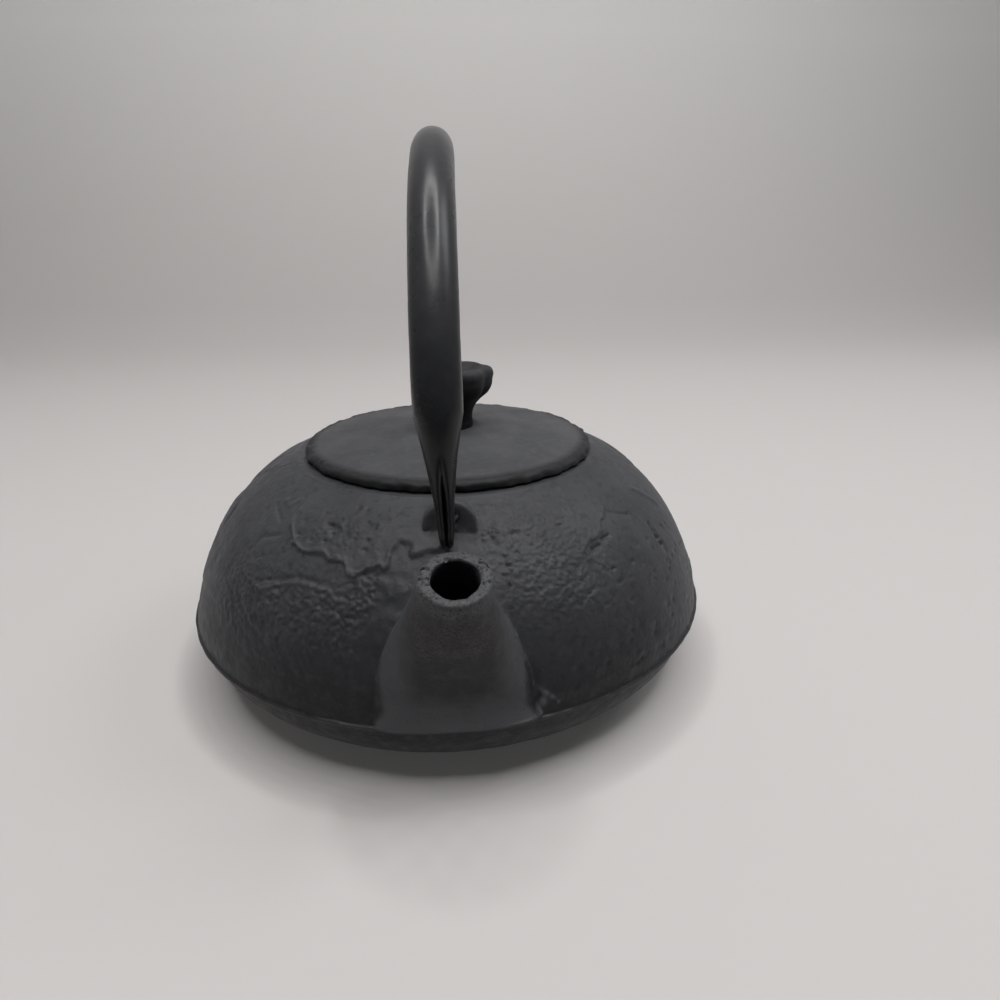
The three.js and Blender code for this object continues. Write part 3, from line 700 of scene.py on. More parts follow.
RIM_IN, RIM_DROP = 2.6, 1.5
rim_turn = np.radians(np.linspace(13.4, 90, 12))
rim_start = LID_RADIUS - RIM_IN + RIM_IN * math.sin(rim_turn[0])
top_radii = np.linspace(TANG_HOLE, rim_start, 60)[:-1]
rim_middle = crown(rim_start) - RIM_DROP * math.cos(rim_turn[0])
soft_rim = np.stack([LID_RADIUS - RIM_IN + RIM_IN * np.sin(rim_turn),
                     rim_middle + RIM_DROP * np.cos(rim_turn)], 1)
mound = 0.22 * np.exp(-((top_radii - 8.6) / 2.6) ** 2)
inner_radii = np.linspace(FLANGE_INNER - 1.2, TANG_HOLE, 26)
flange_foot = LID_BOTTOM - FLANGE_DEPTH
lid_outline = np.vstack([
    np.stack([top_radii, crown(top_radii) + mound], 1),
    soft_rim,
    rounded((LID_RADIUS - 0.6, LID_BOTTOM + 0.6), 0.6, 0, -90),
    [(FLANGE_OUTER + 1, LID_BOTTOM)],
    rounded((FLANGE_OUTER + 0.6, LID_BOTTOM - 0.6), 0.6, 90, 180),
    [(FLANGE_OUTER, flange_foot + 1.6)],
    rounded((FLANGE_OUTER - 0.7, flange_foot + 0.7), 0.7, 0, -90),
    rounded((FLANGE_INNER + 0.5, flange_foot + 0.5), 0.5, -90, -180),
    [(FLANGE_INNER, crown(FLANGE_INNER) - LID_THICKNESS - 1.2)],
    rounded((FLANGE_INNER - 1.2, crown(FLANGE_INNER - 1.2) - LID_THICKNESS - 1.2), 1.2, 0, 90)[:-1],
    np.stack([inner_radii, crown(inner_radii) - LID_THICKNESS], 1),
])
lid_angles = wheel(300, 0.25)
lid_ground = turned(lid_outline, lid_angles)
on_rim = smooth(LID_RADIUS - 3.2, LID_RADIUS - 1.0, lid_outline[:, 0])[:, None]
lid_swell = 0.03 * rough(lid_ground, 20, 2.1) + 0.006 * rough(lid_ground, 2.2, 6.0)
lid_swell += on_rim * (0.42 * rough(lid_ground, (3.2, 3.2, 2.0), 7.2) + 0.22 * rough(lid_ground, 1.4, 3.8))
lid_rings = turned(lid_outline, lid_angles, lid_swell) + (LID_SHIFT, 0, 0)
past_flange = lid_outline[:, 0] > FLANGE_OUTER + 0.7
lid_rings[past_flange, :, 2] = np.maximum(lid_rings[past_flange, :, 2], LID_BOTTOM - LUMP_LEFT)
lid_plate = make("lid_plate", *skin(lid_rings, "joined"))
ease(lid_plate, 40)
print("the lid has", len(lid_plate.data.polygons), "faces")

# %% [markdown]
# ## The knob
# The knob is a bud: six lobes swell from a narrow neck and fold in over a sunken top. It was cast
# with a round tang, which goes down through a ring, the lid and a washer, and is hammered over.
# A line through a few points gives the outline, and each ring of it is then pinched between the
# lobes. The bud leans to the right, as the real one does.

# %% Draw smooth lines through points
def through(points, steps_between=40):
    """Many points on a smooth line through a few, without overshoot where they lie close."""
    points = np.asarray(points, float)
    points = np.vstack([2 * points[0] - points[1], points, 2 * points[-1] - points[-2]])
    line = []
    for p0, p1, p2, p3 in zip(points, points[1:], points[2:], points[3:]):
        d0, d1, d2 = (max(np.linalg.norm(b - a), 1e-9) ** 0.5 for a, b in ((p0, p1), (p1, p2), (p2, p3)))
        leave = d1 * ((p1 - p0) / d0 - (p2 - p0) / (d0 + d1) + (p2 - p1) / d1)
        arrive = d1 * ((p2 - p1) / d1 - (p3 - p1) / (d1 + d2) + (p3 - p2) / d2)
        t = np.linspace(0, 1, steps_between, endpoint=False)[:, None]
        line.append((2 * t ** 3 - 3 * t ** 2 + 1) * p1 + (t ** 3 - 2 * t ** 2 + t) * leave
                    + (3 * t ** 2 - 2 * t ** 3) * p2 + (t ** 3 - t ** 2) * arrive)
    return np.vstack(line + [points[-2:-1]])


def spaced(line, stations):
    """Points on a line so far along it."""
    far = walk(line)
    return np.stack([np.interp(stations, far, line[:, i]) for i in range(line.shape[1])], 1)


# %% Shape the bud
KNOB_FOOT_Z, KNOB_HEIGHT, KNOB_LEAN = 69.6, 15.0, 2.4
LOBES, PINCH, FOLD_FROM = 6, 0.18, 0.62
bud_line = through([(6.9, 0), (6.8, 2.2), (6.95, 4.0), (7.7, 5.9), (8.95, 7.6), (9.55, 9.8), (9.6, 11.6),
                    (9.85, 13.2), (9.35, 14.5), (7.4, 15), (4.2, 13.9), (0.05, 13.3)])
bud_line = spaced(bud_line, np.linspace(0, walk(bud_line)[-1], 84))
bud_turn = wheel(144)
lobe = np.sqrt(np.cos(LOBES / 2 * bud_turn) ** 2 + 0.08) / math.sqrt(1.08)
bud_rings = []
for share, (reach, up) in zip(np.linspace(0, 1, len(bud_line)), bud_line):
    rise = min(up / KNOB_HEIGHT, 1)
    open_top = 1 - smooth(0.86, 1.0, share)
    pinch = PINCH * smooth(0.2, 0.6, rise) * open_top
    spread = reach * (1 + pinch * (lobe - 0.52))
    drop = smooth(FOLD_FROM, 0.8, share) * open_top * (1 - lobe)
    lean = LID_SHIFT + KNOB_LEAN * smooth(0, 0.8, rise)
    bud_rings.append(np.stack([lean + spread * np.cos(bud_turn), spread * np.sin(bud_turn),
                               KNOB_FOOT_Z + up - drop], 1))
bud_rings = np.array(bud_rings)
bud_rings += 0.5 * (0.12 * rough(bud_rings, 3.4, 8.1) + 0.05 * rough(bud_rings, 1.6, 3.1))[..., None]
bud = make("bud_knob", *skin(bud_rings))
print("the bud has", len(bud.data.polygons), "faces")

# %% Turn the tang and its hammered end
WASHER_TOP = crown(6.5) - LID_THICKNESS - 0.3
WASHER_BOTTOM = WASHER_TOP - 1.0
PEEN_TOP = WASHER_BOTTOM - 0.3
tang = np.vstack([[(0.02, PEEN_TOP - 1.1), (1.6, PEEN_TOP - 1.07), (2.8, PEEN_TOP - 0.94)],
                  rounded((3.3, PEEN_TOP - 0.55), 0.55, -60, 60, 7),
                  [(3.0, PEEN_TOP), (2.3, PEEN_TOP), (2.3, KNOB_FOOT_Z + 0.3), (0.02, KNOB_FOOT_Z + 0.3)]])
tang_angles = wheel(60)
tang_ground = turned(tang, tang_angles)
hammered = 0.16 * rough(tang_ground, 1.5, 2.6) * (tang[:, 1] < PEEN_TOP - 0.1)[:, None]
work(bud, make("tang", *skin(turned(tang, tang_angles, hammered) + (LID_SHIFT, 0, 0))), "UNION")
ease(bud, 50)
print("the knob has", len(bud.data.polygons), "faces")


# %% [markdown]
# ## The ring under the knob and the washer under the lid
# Both are small rings round the tang. The upper one is turned with an eased top edge and lifts
# the knob off the lid. The lower one was cut and hammered by hand, so its edge is uneven.

# %% Turn the two rings
def tang_ring(name, radius, bottom, height, ease_top, ease_bottom, lumps):
    """A flat ring round the tang with eased edges."""
    outline = np.vstack([
        [(TANG_HOLE, bottom), (radius - ease_bottom - 1.5, bottom)],
        rounded((radius - ease_bottom, bottom + ease_bottom), ease_bottom, -90, 0, 5),
        rounded((radius - ease_top, bottom + height - ease_top), ease_top, 0, 90, 5),
        [(radius - ease_top - 1.5, bottom + height), (TANG_HOLE, bottom + height)],
    ])
    steps = wheel(110)
    places = turned(outline, steps)
    outer = smooth(TANG_HOLE + 0.5, radius, outline[:, 0])[:, None]
    swell = lumps * outer * (rough(places, 2.2, 4.4) - 0.5)
    ring = make(name, *skin(turned(outline, steps, swell) + (LID_SHIFT, 0, 0), "joined"))
    ease(ring, 45)
    return ring


seat_ring = tang_ring("seat_ring", 7.0, crown(7.0), KNOB_FOOT_Z - crown(7.0), 0.4, 0.08, 0.03)
washer = tang_ring("tang_washer", 6.5, WASHER_BOTTOM, 1.0, 0.1, 0.3, 0.13)
print("two rings turned")

# %% [markdown]
# ## The bail
# The bail is a round bar, drawn out at both ends, pinched on the outside into a groove, and bent
# into hooks. A bevelled curve can only change its thickness, and this bar also changes its
# section, so rings are set along its line and shaped one by one: their width, their depth in the
# plane of the arch, and the groove. Forging leaves slow waves along the bar.

# %% Lay out the bail's line
BAIL_DIAMETER, BAIL_RADIUS, ARCH_RISE, ARCH_START = 10.1, 62.42, 16.4, 8.0
EAR_OUTER = EAR_INNER + EAR_THICKNESS
EAR_MIDDLE = (EAR_INNER + EAR_OUTER) / 2
HEEL, HEEL_DROP, HEEL_ROUND = EAR_OUTER + 4.7, 3.7, 1.9
KNEE = (HEEL + 2.1, 2.0)
HOOK_LENGTH, SHANK_LENGTH, TAPER_LENGTH = 5.0, 17.0, 42.0
HOOK_DIAMETER, SHANK_WIDTH, SHANK_DEPTH = 2.0, 4.0, 4.7
BEND, LEAN, SKEW = 0.5, math.radians(0.5), math.radians(0.75)

arch_turn = np.radians(np.linspace(ARCH_START, 90, 9))
arch = np.stack([BAIL_RADIUS * np.cos(arch_turn), ARCH_RISE + BAIL_RADIUS * np.sin(arch_turn)], 1)
shank = [(KNEE[0] + (arch[0, 0] - KNEE[0]) * math.sin(math.radians(90 * share)),
          KNEE[1] + (arch[0, 1] - KNEE[1]) * share) for share in (1 / 3, 2 / 3)]
half_line = np.vstack([[(EAR_INNER - 0.6, 0.5), (EAR_MIDDLE, 0), (EAR_OUTER + 0.6, -0.5),
                        (HEEL - HEEL_ROUND, HEEL_ROUND / 2 - HEEL_DROP), (HEEL, -HEEL_DROP),
                        (HEEL + HEEL_ROUND, -HEEL_DROP / 2), KNEE], shank, arch])
bend = -BEND * np.sin(np.maximum(half_line[:, 1] / half_line[-1, 1], 0) * math.pi)
front_half = np.stack([bend, -half_line[:, 0], half_line[:, 1]], 1)
back_half = (front_half * (1, -1, 1))[:-1][::-1]
bail_line = through(np.vstack([front_half, back_half]))
bail_length = walk(bail_line)[-1]
print("the bail's bar is", round(float(bail_length)), "mm long")


# %% Forge the bar ring by ring
def bar_section(from_tip):
    """The bar's width, depth and groove, so far from the tip of its hook."""
    taper = (from_tip - SHANK_LENGTH) / (TAPER_LENGTH - SHANK_LENGTH)
    in_shank = np.clip((from_tip - HOOK_LENGTH) / (SHANK_LENGTH - HOOK_LENGTH), 0, 1)
    swelling = np.clip(taper, 0, 1)
    tip = math.sqrt(min(0.35 + from_tip / HOOK_DIAMETER, 1))
    if from_tip < 0.7:
        tip *= math.sqrt(max(1 - (1 - from_tip / 0.7) ** 2, 0.02))
    width = HOOK_DIAMETER * tip + (SHANK_WIDTH - HOOK_DIAMETER) * in_shank \
        + (BAIL_DIAMETER - SHANK_WIDTH) * swelling ** 1.62
    depth = HOOK_DIAMETER * tip + (SHANK_DEPTH - HOOK_DIAMETER) * in_shank \
        + (BAIL_DIAMETER - SHANK_DEPTH) * swelling
    groove = 0.42 * depth * smooth(6, 13, from_tip) * (1 - smooth(0.05, 0.8, taper))
    return width, depth, groove


BAR_AROUND, STEP = 64, 0.25
ends = np.concatenate([np.linspace(0, 0.9, 7)[:-1], np.linspace(0.9, TAPER_LENGTH, 92)])
stations = np.concatenate([ends, np.linspace(TAPER_LENGTH, bail_length - TAPER_LENGTH, 132)[1:-1],
                           (bail_length - ends)[::-1]])
from_ends = np.minimum(stations, bail_length - stations)
alongs = unit(spaced(bail_line, np.minimum(stations + STEP, bail_length))
              - spaced(bail_line, np.maximum(stations - STEP, 0)))
outwards = unit(-np.cross(alongs, (1.0, 0.0, 0.0)))
turn = wheel(BAR_AROUND)
turn = turn - 0.35 * np.sin(2 * (turn - math.pi / 2)) / 2
bar_rings = []
for from_tip, middle, outward in zip(from_ends, spaced(bail_line, stations), outwards):
    width, depth, groove = bar_section(from_tip)
    aside = width / 2 * np.cos(turn)
    hollow = np.where(np.sin(turn) > 0, groove * np.exp(-np.abs(aside) / (0.16 * width)), 0)
    bar_rings.append(middle + np.outer(aside, (1, 0, 0))
                     + np.outer(depth / 2 * np.sin(turn) - hollow, outward))
bar_rings = np.array(bar_rings)
bar_out = bar_rings - bar_rings.mean(1, keepdims=True)
bar_half = np.linalg.norm(bar_out, axis=2, keepdims=True)
full_bar = smooth(4, 30, from_ends)[:, None, None]
waves = 0.09 * rough(bar_rings, 11, 5.5)[..., None] + 0.025 * rough(bar_rings, 3.5, 7.5)[..., None]
bar_rings = bar_rings + bar_out / np.maximum(bar_half, 0.05) * waves * (0.15 + 0.85 * full_bar)
lean = np.array(Matrix.Rotation(-SKEW, 3, "Z") @ Matrix.Rotation(-LEAN, 3, "Y"))
bail = make("carrying_bail", *skin(bar_rings @ lean.T + (0, 0, PIVOT)))
hold_in(bail)
ease(bail, 70)
print("the bail has", len(bail.data.polygons), "faces")

# %% [markdown]
# ## Finishes
# Such a kettle is blackened over the fire and rubbed with lacquer, so its iron is nearly black, a
# little blue, and no two places shine alike. The pot stays rough and matt. Its raised places are
# rubbed a bit lighter, and the spout's front has a brownish bloom of dust. Painted shade darkens the
# dome low down beside the spout, its underside, the spout's front face and the lid's rim, and
# painted light brightens the spout's flanks and foot and the upper parts of the knob and the bail.
# The lid, knob and bail are finer and shine softly. All of this follows the surface itself, so each
# finish is mixed from noise, worn edges and places on the kettle, and nothing is painted from a
# picture.

# %% Mix a finish
def feed(tree, socket, value):
    """Links a socket to an input, or sets the input to a number or a colour."""
    if isinstance(value, bpy.types.NodeSocket):
        tree.links.new(value, socket)
    else:
        socket.default_value = value


def node(tree, kind, inputs=None, **settings):
    """A shader node with its settings and inputs. An input is a number, a colour or a socket."""
    made = tree.nodes.new("ShaderNode" + kind)
    for name, value in settings.items():
        setattr(made, name, value)
    for name, value in (inputs or {}).items():
        feed(tree, made.inputs[name], value)
    return made


def start_finish(name):
    """A new material, its tree, its main shader and the place of each point in metres."""
    material = bpy.data.materials.new(name)
    material.use_nodes = True
    tree = material.node_tree
    shader = tree.nodes["Principled BSDF"]
    return material, tree, shader, node(tree, "TexCoord").outputs["Object"]


def grain(tree, place, across_mm, detail=3.0):
    """Noise whose lumps are so many millimetres across, from 0 to 1."""
    inputs = {"Vector": place, "Scale": 1000 / across_mm, "Detail": detail}
    return node(tree, "TexNoise", inputs).outputs["Fac"]


def ramp(tree, value, low, high, to_low=0.0, to_high=1.0):
    """Stretches a value from one range to another."""
    return node(tree, "MapRange", {"Value": value, "From Min": low, "From Max": high,
                                   "To Min": to_low, "To Max": to_high}).outputs["Result"]


def blend(tree, share, first, second):
    """One colour, going over into another."""
    mixer = node(tree, "Mix", data_type="RGBA")
    feed(tree, mixer.inputs[0], share)
    for socket, colour in ((mixer.inputs[6], first), (mixer.inputs[7], second)):
        feed(tree, socket, (*colour, 1) if isinstance(colour, tuple) else colour)
    return mixer.outputs[2]


def times(tree, first, second, operation="MULTIPLY"):
    """Two values multiplied, or put together in another way."""
    return node(tree, "Math", {0: first, 1: second}, operation=operation).outputs[0]


def scaled(share, colour):
    """A colour made darker or lighter."""
    return tuple(share * part for part in colour)


def dent(tree, shader, height, strength, distance_mm, under=None):
    """Gives a shader small relief from a height, on top of any relief under it."""
    inputs = {"Height": height, "Strength": strength, "Distance": distance_mm * MM}
    if under is not None:
        inputs["Normal"] = under
    bump = node(tree, "Bump", inputs).outputs["Normal"]
    tree.links.new(bump, shader.inputs["Normal"])
    return bump


# %% Colour the dome and the spout
def skin_with_low_painted_shade(tree, place, spots):
    """Bluish black skin, with painted shade low down beside the spout and under the ridge."""
    clouds = ramp(tree, grain(tree, place, 16.0, 4.0), 0.35, 0.65)
    colour = blend(tree, clouds, (0.041, 0.0425, 0.048), (0.056, 0.058, 0.065))
    stains = ramp(tree, grain(tree, place, 1.9, 3.0), 0.55, 0.66, 0.0, 0.5)
    colour = blend(tree, stains, colour, (0.02, 0.0205, 0.023))
    # Painted shade: the skin is darkened low down and towards the front, beside the spout.
    low = ramp(tree, spots["Z"], 0.05, 0.025)
    ahead = ramp(tree, spots["Y"], -0.030, -0.062, 0.45, 1.0)
    low_painted_shade = times(tree, times(tree, low, ahead), 0.86)
    colour = blend(tree, low_painted_shade, colour, (0.0068, 0.007, 0.0084))
    # Painted shade: the skin is darkened under the ridge, on the underside.
    painted_shade_under_ridge = ramp(tree, spots["Z"], 0.0200, 0.0180, 0.0, 0.4)
    return blend(tree, painted_shade_under_ridge, colour, (0.008, 0.0083, 0.0095))


def bright_lip(tree, place, speck, colour):
    """The spout's lip, rubbed bright and pricked by gas."""
    middle = tuple(float(part) * MM for part in MOUTH_MIDDLE)
    mouth = node(tree, "VectorMath", {0: place, 1: middle}, operation="DISTANCE").outputs["Value"]
    at_lip = ramp(tree, mouth, 0.0086, 0.0076)
    wear_and_painted_light = times(tree, at_lip, ramp(tree, speck, 0.4, 0.54, 0.1, 0.85))
    colour = blend(tree, wear_and_painted_light, colour, (0.075, 0.077, 0.082))
    pricks = ramp(tree, grain(tree, place, 0.6, 2.0), 0.57, 0.62, 0.0, 0.9)
    return blend(tree, times(tree, at_lip, pricks), colour, (0.01, 0.01, 0.011))


def spout_painted_light_and_dust(tree, place, spots, speck):
    """Painted light on the flanks and foot, painted shade on the face between them, dust on the face, and the
    lip.
    """
    # Painted light: the spout's skin is paler than the dome's, so that its flanks look lit.
    clouds = ramp(tree, grain(tree, place, 11.0, 4.0), 0.35, 0.65)
    colour = blend(tree, clouds, (0.049, 0.0505, 0.056), (0.062, 0.0635, 0.070))
    # Painted shade: a dark face down the middle of the spout's front.
    beside = ramp(tree, times(tree, spots["X"], 0.0, "ABSOLUTE"), 0.0125, 0.0075)
    ahead = ramp(tree, spots["Y"], -0.0715, -0.0745)
    above = times(tree, ramp(tree, spots["Z"], 0.0250, 0.030), ramp(tree, spots["Z"], 0.058, 0.052))
    painted_shade_face = times(tree, times(tree, beside, ahead), above)
    colour = blend(tree, times(tree, painted_shade_face, 0.92), colour, (0.014, 0.0142, 0.0152))
    dust = ramp(tree, grain(tree, place, 0.4, 2.0), 0.47, 0.53)
    upper = times(tree, painted_shade_face, ramp(tree, spots["Z"], 0.036, 0.043, 0.1, 0.7))
    patches = ramp(tree, grain(tree, place, 3.0, 3.0), 0.4, 0.6, 0.35, 1.0)
    dusted = times(tree, times(tree, upper, dust), patches)
    colour = blend(tree, dusted, colour, (0.070, 0.060, 0.058))
    # Painted light: a paler band round the spout's foot.
    painted_light_foot = times(tree, ramp(tree, spots["Z"], 0.0275, 0.0225), 0.55)
    colour = blend(tree, painted_light_foot, colour, (0.085, 0.086, 0.091))
    return bright_lip(tree, place, speck, colour)


# %% Finish the pot: matt black casting skin
def casting_skin():
    """Rough black iron with worn edges, painted shade low on the dome, and on the spout painted light and
    shade with dust.
    """
    material, tree, shader, place = start_finish("casting_skin")
    mottle = grain(tree, place, 2.6, 5.0)
    speck = grain(tree, place, 0.7, 2.0)
    spots = node(tree, "SeparateXYZ", {"Vector": place}).outputs
    on_spout = node(tree, "Attribute", attribute_name="on_spout").outputs["Fac"]
    colour = blend(tree, on_spout, skin_with_low_painted_shade(tree, place, spots), spout_painted_light_and_dust(tree, place, spots, speck))
    colour = blend(tree, ramp(tree, mottle, 0.5, 0.75, 0.0, 0.22), colour, (0.066, 0.067, 0.073))
    worn = ramp(tree, node(tree, "NewGeometry").outputs["Pointiness"], 0.5, 0.56)
    colour = blend(tree, times(tree, worn, 0.33), colour, (0.082, 0.083, 0.087))
    colour = blend(tree, ramp(tree, speck, 0.63, 0.72, 0.0, 0.35), colour, (0.014, 0.013, 0.013))
    tree.links.new(colour, shader.inputs["Base Color"])
    tree.links.new(ramp(tree, mottle, 0.3, 0.7, 0.6, 0.47), shader.inputs["Roughness"])
    shader.inputs["Specular IOR Level"].default_value = 0.27
    shader.inputs["Sheen Weight"].default_value = 0.05
    shader.inputs["Sheen Roughness"].default_value = 0.5
    shader.inputs["Sheen Tint"].default_value = (0.85, 0.9, 1.0, 1.0)
    coarse = dent(tree, shader, mottle, 0.35, 0.4)
    fine = dent(tree, shader, grain(tree, place, 1.1, 3.0), 0.4, 0.2, coarse)
    dent(tree, shader, speck, 0.3, 0.16, fine)
    return material


pot_finish = casting_skin()
print("mixed", pot_finish.name)


# %% Finish the hollow: grey scale with rust in it
def fired_inside():
    """The inside is bare iron, fired grey, with rust where water stood."""
    material, tree, shader, place = start_finish("fired_inside")
    clouds = grain(tree, place, 11.0, 5.0)
    speck = grain(tree, place, 1.2, 3.0)
    colour = blend(tree, ramp(tree, clouds, 0.4, 0.65), (0.075, 0.078, 0.082), (0.13, 0.085, 0.06))
    colour = blend(tree, ramp(tree, speck, 0.55, 0.7, 0.0, 0.5), colour, (0.035, 0.033, 0.032))
    tree.links.new(colour, shader.inputs["Base Color"])
    tree.links.new(ramp(tree, speck, 0.3, 0.7, 0.85, 0.68), shader.inputs["Roughness"])
    dent(tree, shader, speck, 0.4, 0.3)
    return material


inside_finish = fired_inside()
print("mixed", inside_finish.name)


# %% Finish the lid, the knob, the washer and the bail
def fine_black(name, dark, light, lustre, speckle_mm, relief_mm, worn_share=0.5, gloss=0.5,
               painted_shade_from=None, wear_and_painted_light=None):
    """Smooth black iron. Lustre is the roughness where it is most and least rubbed.

    The last argument gives two heights in metres between which a lighter colour comes in: painted light on
    the upper part. The one before it is the distance from the lid's middle, in metres, where its rim begins
    and past which painted shade darkens it.
    """
    material, tree, shader, place = start_finish(name)
    clouds = grain(tree, place, 13.0, 4.0)
    mottle = grain(tree, place, speckle_mm, 5.0)
    speck = grain(tree, place, 0.5, 2.0)
    worn = ramp(tree, node(tree, "NewGeometry").outputs["Pointiness"], 0.5, 0.58)
    colour = blend(tree, ramp(tree, clouds, 0.35, 0.65), dark, light)
    colour = blend(tree, ramp(tree, mottle, 0.5, 0.75, 0.0, 0.4), colour, scaled(1.5, light))
    colour = blend(tree, times(tree, worn, worn_share), colour, scaled(2.2, light))
    # Painted light: the upper part gets a lighter colour, as if lit from above.
    if wear_and_painted_light:
        low, high, painted_light_colour = wear_and_painted_light
        height = node(tree, "SeparateXYZ", {"Vector": place}).outputs["Z"]
        share = times(tree, ramp(tree, height, low, high), ramp(tree, mottle, 0.3, 0.7, 0.75, 1.0))
        colour = blend(tree, share, colour, painted_light_colour)
    # Painted shade: the lid's rim is darkened past the given distance from its middle.
    if painted_shade_from:
        flat_place = node(tree, "VectorMath", {0: place, 1: (1.0, 1.0, 0.0)}, operation="MULTIPLY")
        ends = {0: flat_place.outputs["Vector"], 1: (LID_SHIFT * MM, 0.0, 0.0)}
        from_middle = node(tree, "VectorMath", ends, operation="DISTANCE").outputs["Value"]
        rim = ramp(tree, from_middle, painted_shade_from - 0.001, painted_shade_from + 0.0012, 0.0, 0.85)
        colour = blend(tree, rim, colour, scaled(0.25, dark))
    tree.links.new(colour, shader.inputs["Base Color"])
    tree.links.new(ramp(tree, clouds, 0.3, 0.7, lustre[1], lustre[0]), shader.inputs["Roughness"])
    shader.inputs["Specular IOR Level"].default_value = gloss
    coarse = dent(tree, shader, mottle, 0.25, relief_mm)
    dent(tree, shader, speck, 0.2, relief_mm / 3, coarse)
    return material


# The lid gets painted shade on its rim; the knob and the bail get painted light on their upper parts.
lid_finish = fine_black("satin_lid", (0.066, 0.0675, 0.0735), (0.079, 0.0805, 0.087), lustre=(0.55, 0.66),
                        speckle_mm=2.2, relief_mm=0.12, worn_share=0.15, gloss=0.24, painted_shade_from=0.0378)
knob_finish = fine_black("bud_with_painted_light", (0.0085, 0.009, 0.0106), (0.0132, 0.0138, 0.0158), lustre=(0.6, 0.7),
                         speckle_mm=1.8, relief_mm=0.14, worn_share=0.15, gloss=0.2,
                         wear_and_painted_light=(0.0795, 0.0825, (0.048, 0.0495, 0.0545)))
washer_finish = fine_black("hammered_washer", (0.045, 0.042, 0.040), (0.07, 0.062, 0.055), lustre=(0.55, 0.7),
                           speckle_mm=1.2, relief_mm=0.3)
bail_finish = fine_black("forged_bail", (0.0115, 0.0121, 0.014), (0.018, 0.0188, 0.0212), lustre=(0.25, 0.33),
                         speckle_mm=2.4, relief_mm=0.12, worn_share=0.3, gloss=0.24,
                         wear_and_painted_light=(0.085, 0.111, (0.053, 0.0545, 0.059)))
print("mixed four finishes of fine black iron")

# %% Put the finishes on
for thing, finish in ((pot, pot_finish), (lid_plate, lid_finish), (bud, knob_finish),
                      (seat_ring, knob_finish), (washer, washer_finish), (bail, bail_finish)):
    thing.data.materials.clear()
    thing.data.materials.append(finish)
pot.data.materials.append(inside_finish)
limit = np.array(sorted((z, r) for r, z in core_outline[1:-4].tolist()))
x, y, z = (read_out(pot.data.polygons, "center") / MM).T
inner = np.hypot(x, y) < np.interp(z, limit[:, 0], limit[:, 1]) + 0.5
inner &= (z > WALL - 1) & (z < limit[-1, 0])
pot.data.polygons.foreach_set("material_index", inner.astype(np.int32))
x, y, z = corners_of(pot).T
beyond = np.hypot(x, y) - np.interp(z, dome[:, 1], dome[:, 0]) - 0.5 * smooth(24, 31, z)
share = smooth(0.0, 0.45, beyond) * (np.abs(x) < 26) * (y < -50)
share *= smooth(RIDGE_HEIGHT + 0.1, RIDGE_HEIGHT + 0.6, z)
pot.data.attributes.new("on_spout", "FLOAT", "POINT").data.foreach_set("value", share)
print("faces of the hollow:", int(inner.sum()), "and corners of the spout:", int((share > 0.5).sum()))

# %% [markdown]
# ## Hand the pieces to the frame
# Every piece rides on the body it belongs to and stands for one of the exact solids.

# %% Ride and replace
PIECES = (  # mesh, body, exact solid, finish
    (pot, "pot", "pot_body", "pot_iron"),
    (lid_plate, "lid", "lid", "lid_iron"),
    (bud, "lid", "knob", "knob_iron"),
    (seat_ring, "lid", "knob_seat", "knob_iron"),
    (washer, "lid", "knob_washer", "washer_iron"),
    (bail, "bail", "bail", "bail_iron"),
)
for piece, body, solid, finish_name in PIECES:
    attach(piece, body)
    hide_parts(solid)

# %% [markdown]
# ## Floor, background and light
# The kettle stands on pale paper that curves up behind it. A ring of small lamps hangs nearly
# overhead, as the soft ring of light on the bail shows, and a round panel lights the right side.
# Behind the paper the world is pale where the camera sees it, and fainter where it gives light,
# so that the kettle's shadow stays on the floor.

# %% Roll out the paper
PAPER_HALF_WIDTH, PAPER_FRONT, BEND_FROM, BEND_RADIUS, PAPER_TOP = 2.2, -0.2, 0.55, 0.6, 2.2
bend_turn = np.linspace(0, math.pi / 2, 24)[1:]
paper_line = [(PAPER_FRONT, 0.0), (BEND_FROM, 0.0)]
paper_line += [(BEND_FROM + BEND_RADIUS * math.sin(t), BEND_RADIUS - BEND_RADIUS * math.cos(t))
               for t in bend_turn]
paper_line += [(BEND_FROM + BEND_RADIUS, PAPER_TOP)]
mesh = bpy.data.meshes.new("paper")
corners = [(x, y, z) for y, z in paper_line for x in (-PAPER_HALF_WIDTH, PAPER_HALF_WIDTH)]
mesh.from_pydata(corners, [], [(2 * i, 2 * i + 1, 2 * i + 3, 2 * i + 2) for i in range(len(paper_line) - 1)])
mesh.polygons.foreach_set("use_smooth", [True] * len(mesh.polygons))
paper = bpy.data.objects.new("paper", mesh)
bpy.context.scene.collection.objects.link(paper)
print("the paper has", len(mesh.polygons), "strips")

# %% Finish the paper
paper_finish, tree, shader, place = start_finish("paper")
height = node(tree, "SeparateXYZ", {"Vector": place}).outputs["Z"]
lighter = blend(tree, ramp(tree, height, 0.03, 0.5), (0.56, 0.54, 0.535), (0.94, 0.925, 0.91))
tree.links.new(lighter, shader.inputs["Base Color"])
ray = node(tree, "LightPath").outputs
seen = times(tree, ray["Is Camera Ray"], ray["Is Glossy Ray"], "MAXIMUM")
lift = times(tree, ramp(tree, height, 0.0, 0.42, 0.04, 0.09), seen)
tree.links.new(lift, shader.inputs["Emission Strength"])
shader.inputs["Emission Color"].default_value = (1.0, 0.98, 0.97, 1)
shader.inputs["Roughness"].default_value = 0.9
shader.inputs["Specular IOR Level"].default_value = 0.2
mesh.materials.append(paper_finish)
print("mixed", paper_finish.name)


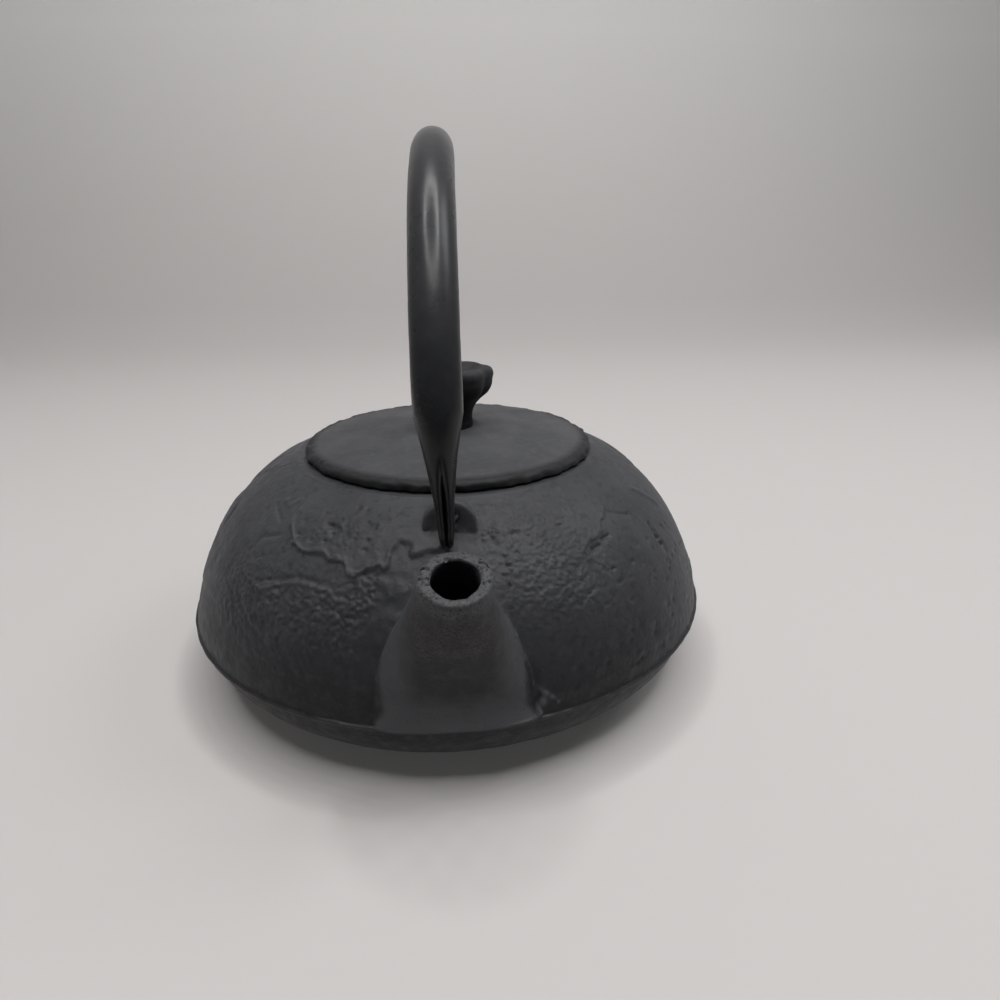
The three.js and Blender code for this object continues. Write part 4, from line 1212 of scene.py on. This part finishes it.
# %% Hang the lamps
def hang(name, place, size, energy, colour):
    """A round lamp, turned towards the kettle."""
    bulb = bpy.data.lights.new(name, "AREA")
    bulb.shape = "DISK"
    bulb.size, bulb.energy, bulb.color = size, energy, colour
    lamp = bpy.data.objects.new(name, bulb)
    lamp.location = place
    lamp.rotation_euler = (LIT_PLACE - lamp.location).to_track_quat("-Z", "Y").to_euler()
    bpy.context.scene.collection.objects.link(lamp)


LIT_PLACE = Vector((0, 0, 0.05))
RING_RADIUS, RING_HEIGHT, RING_AHEAD, RING_LAMPS, RING_ENERGY = 0.4, 1.1, 0.16, 16, 12.0
for i in range(RING_LAMPS):
    turn_by = 2 * math.pi * i / RING_LAMPS
    where = (RING_RADIUS * math.cos(turn_by), RING_RADIUS * math.sin(turn_by) - RING_AHEAD, RING_HEIGHT)
    energy = RING_ENERGY / RING_LAMPS * (1 + 0.15 * math.cos(turn_by))
    hang("ring_lamp", where, 0.1, energy, (1.0, 0.985, 0.975))
hang("right_panel", (0.75, 0.1, 0.9), 0.5, 2.3, (0.97, 0.985, 1.0))
print("lamps hung:", RING_LAMPS + 1)

# %% Make the sky
sky = bpy.data.worlds.new("sky")
bpy.context.scene.world = sky
sky.use_nodes = True
tree = sky.node_tree
sky_light = tree.nodes["Background"]
sky_light.inputs["Color"].default_value = (1.0, 0.99, 0.985, 1)
facing = node(tree, "SeparateXYZ", {"Vector": node(tree, "TexCoord").outputs["Generated"]}).outputs["Y"]
ray = node(tree, "LightPath").outputs
in_gloss = times(tree, times(tree, ray["Is Glossy Ray"], ray["Is Transmission Ray"], "MAXIMUM"), 0.08)
seen = times(tree, times(tree, ray["Is Camera Ray"], 0.45), in_gloss, "MAXIMUM")
glow = times(tree, ramp(tree, facing, -0.7, 0.2, 0.015, 0.15), seen, "MAXIMUM")
tree.links.new(glow, sky_light.inputs["Strength"])
bpy.context.scene.view_settings.view_transform = "Standard"
print("the sky is", sky.name)

# %% [markdown]
# ## The kettle's size
# The box round the exact solids was measured at the start, and it is printed here.

# %% Print the box of the exact solids
print("cad", [[round(v, 4) for v in c] for c in cad_box])
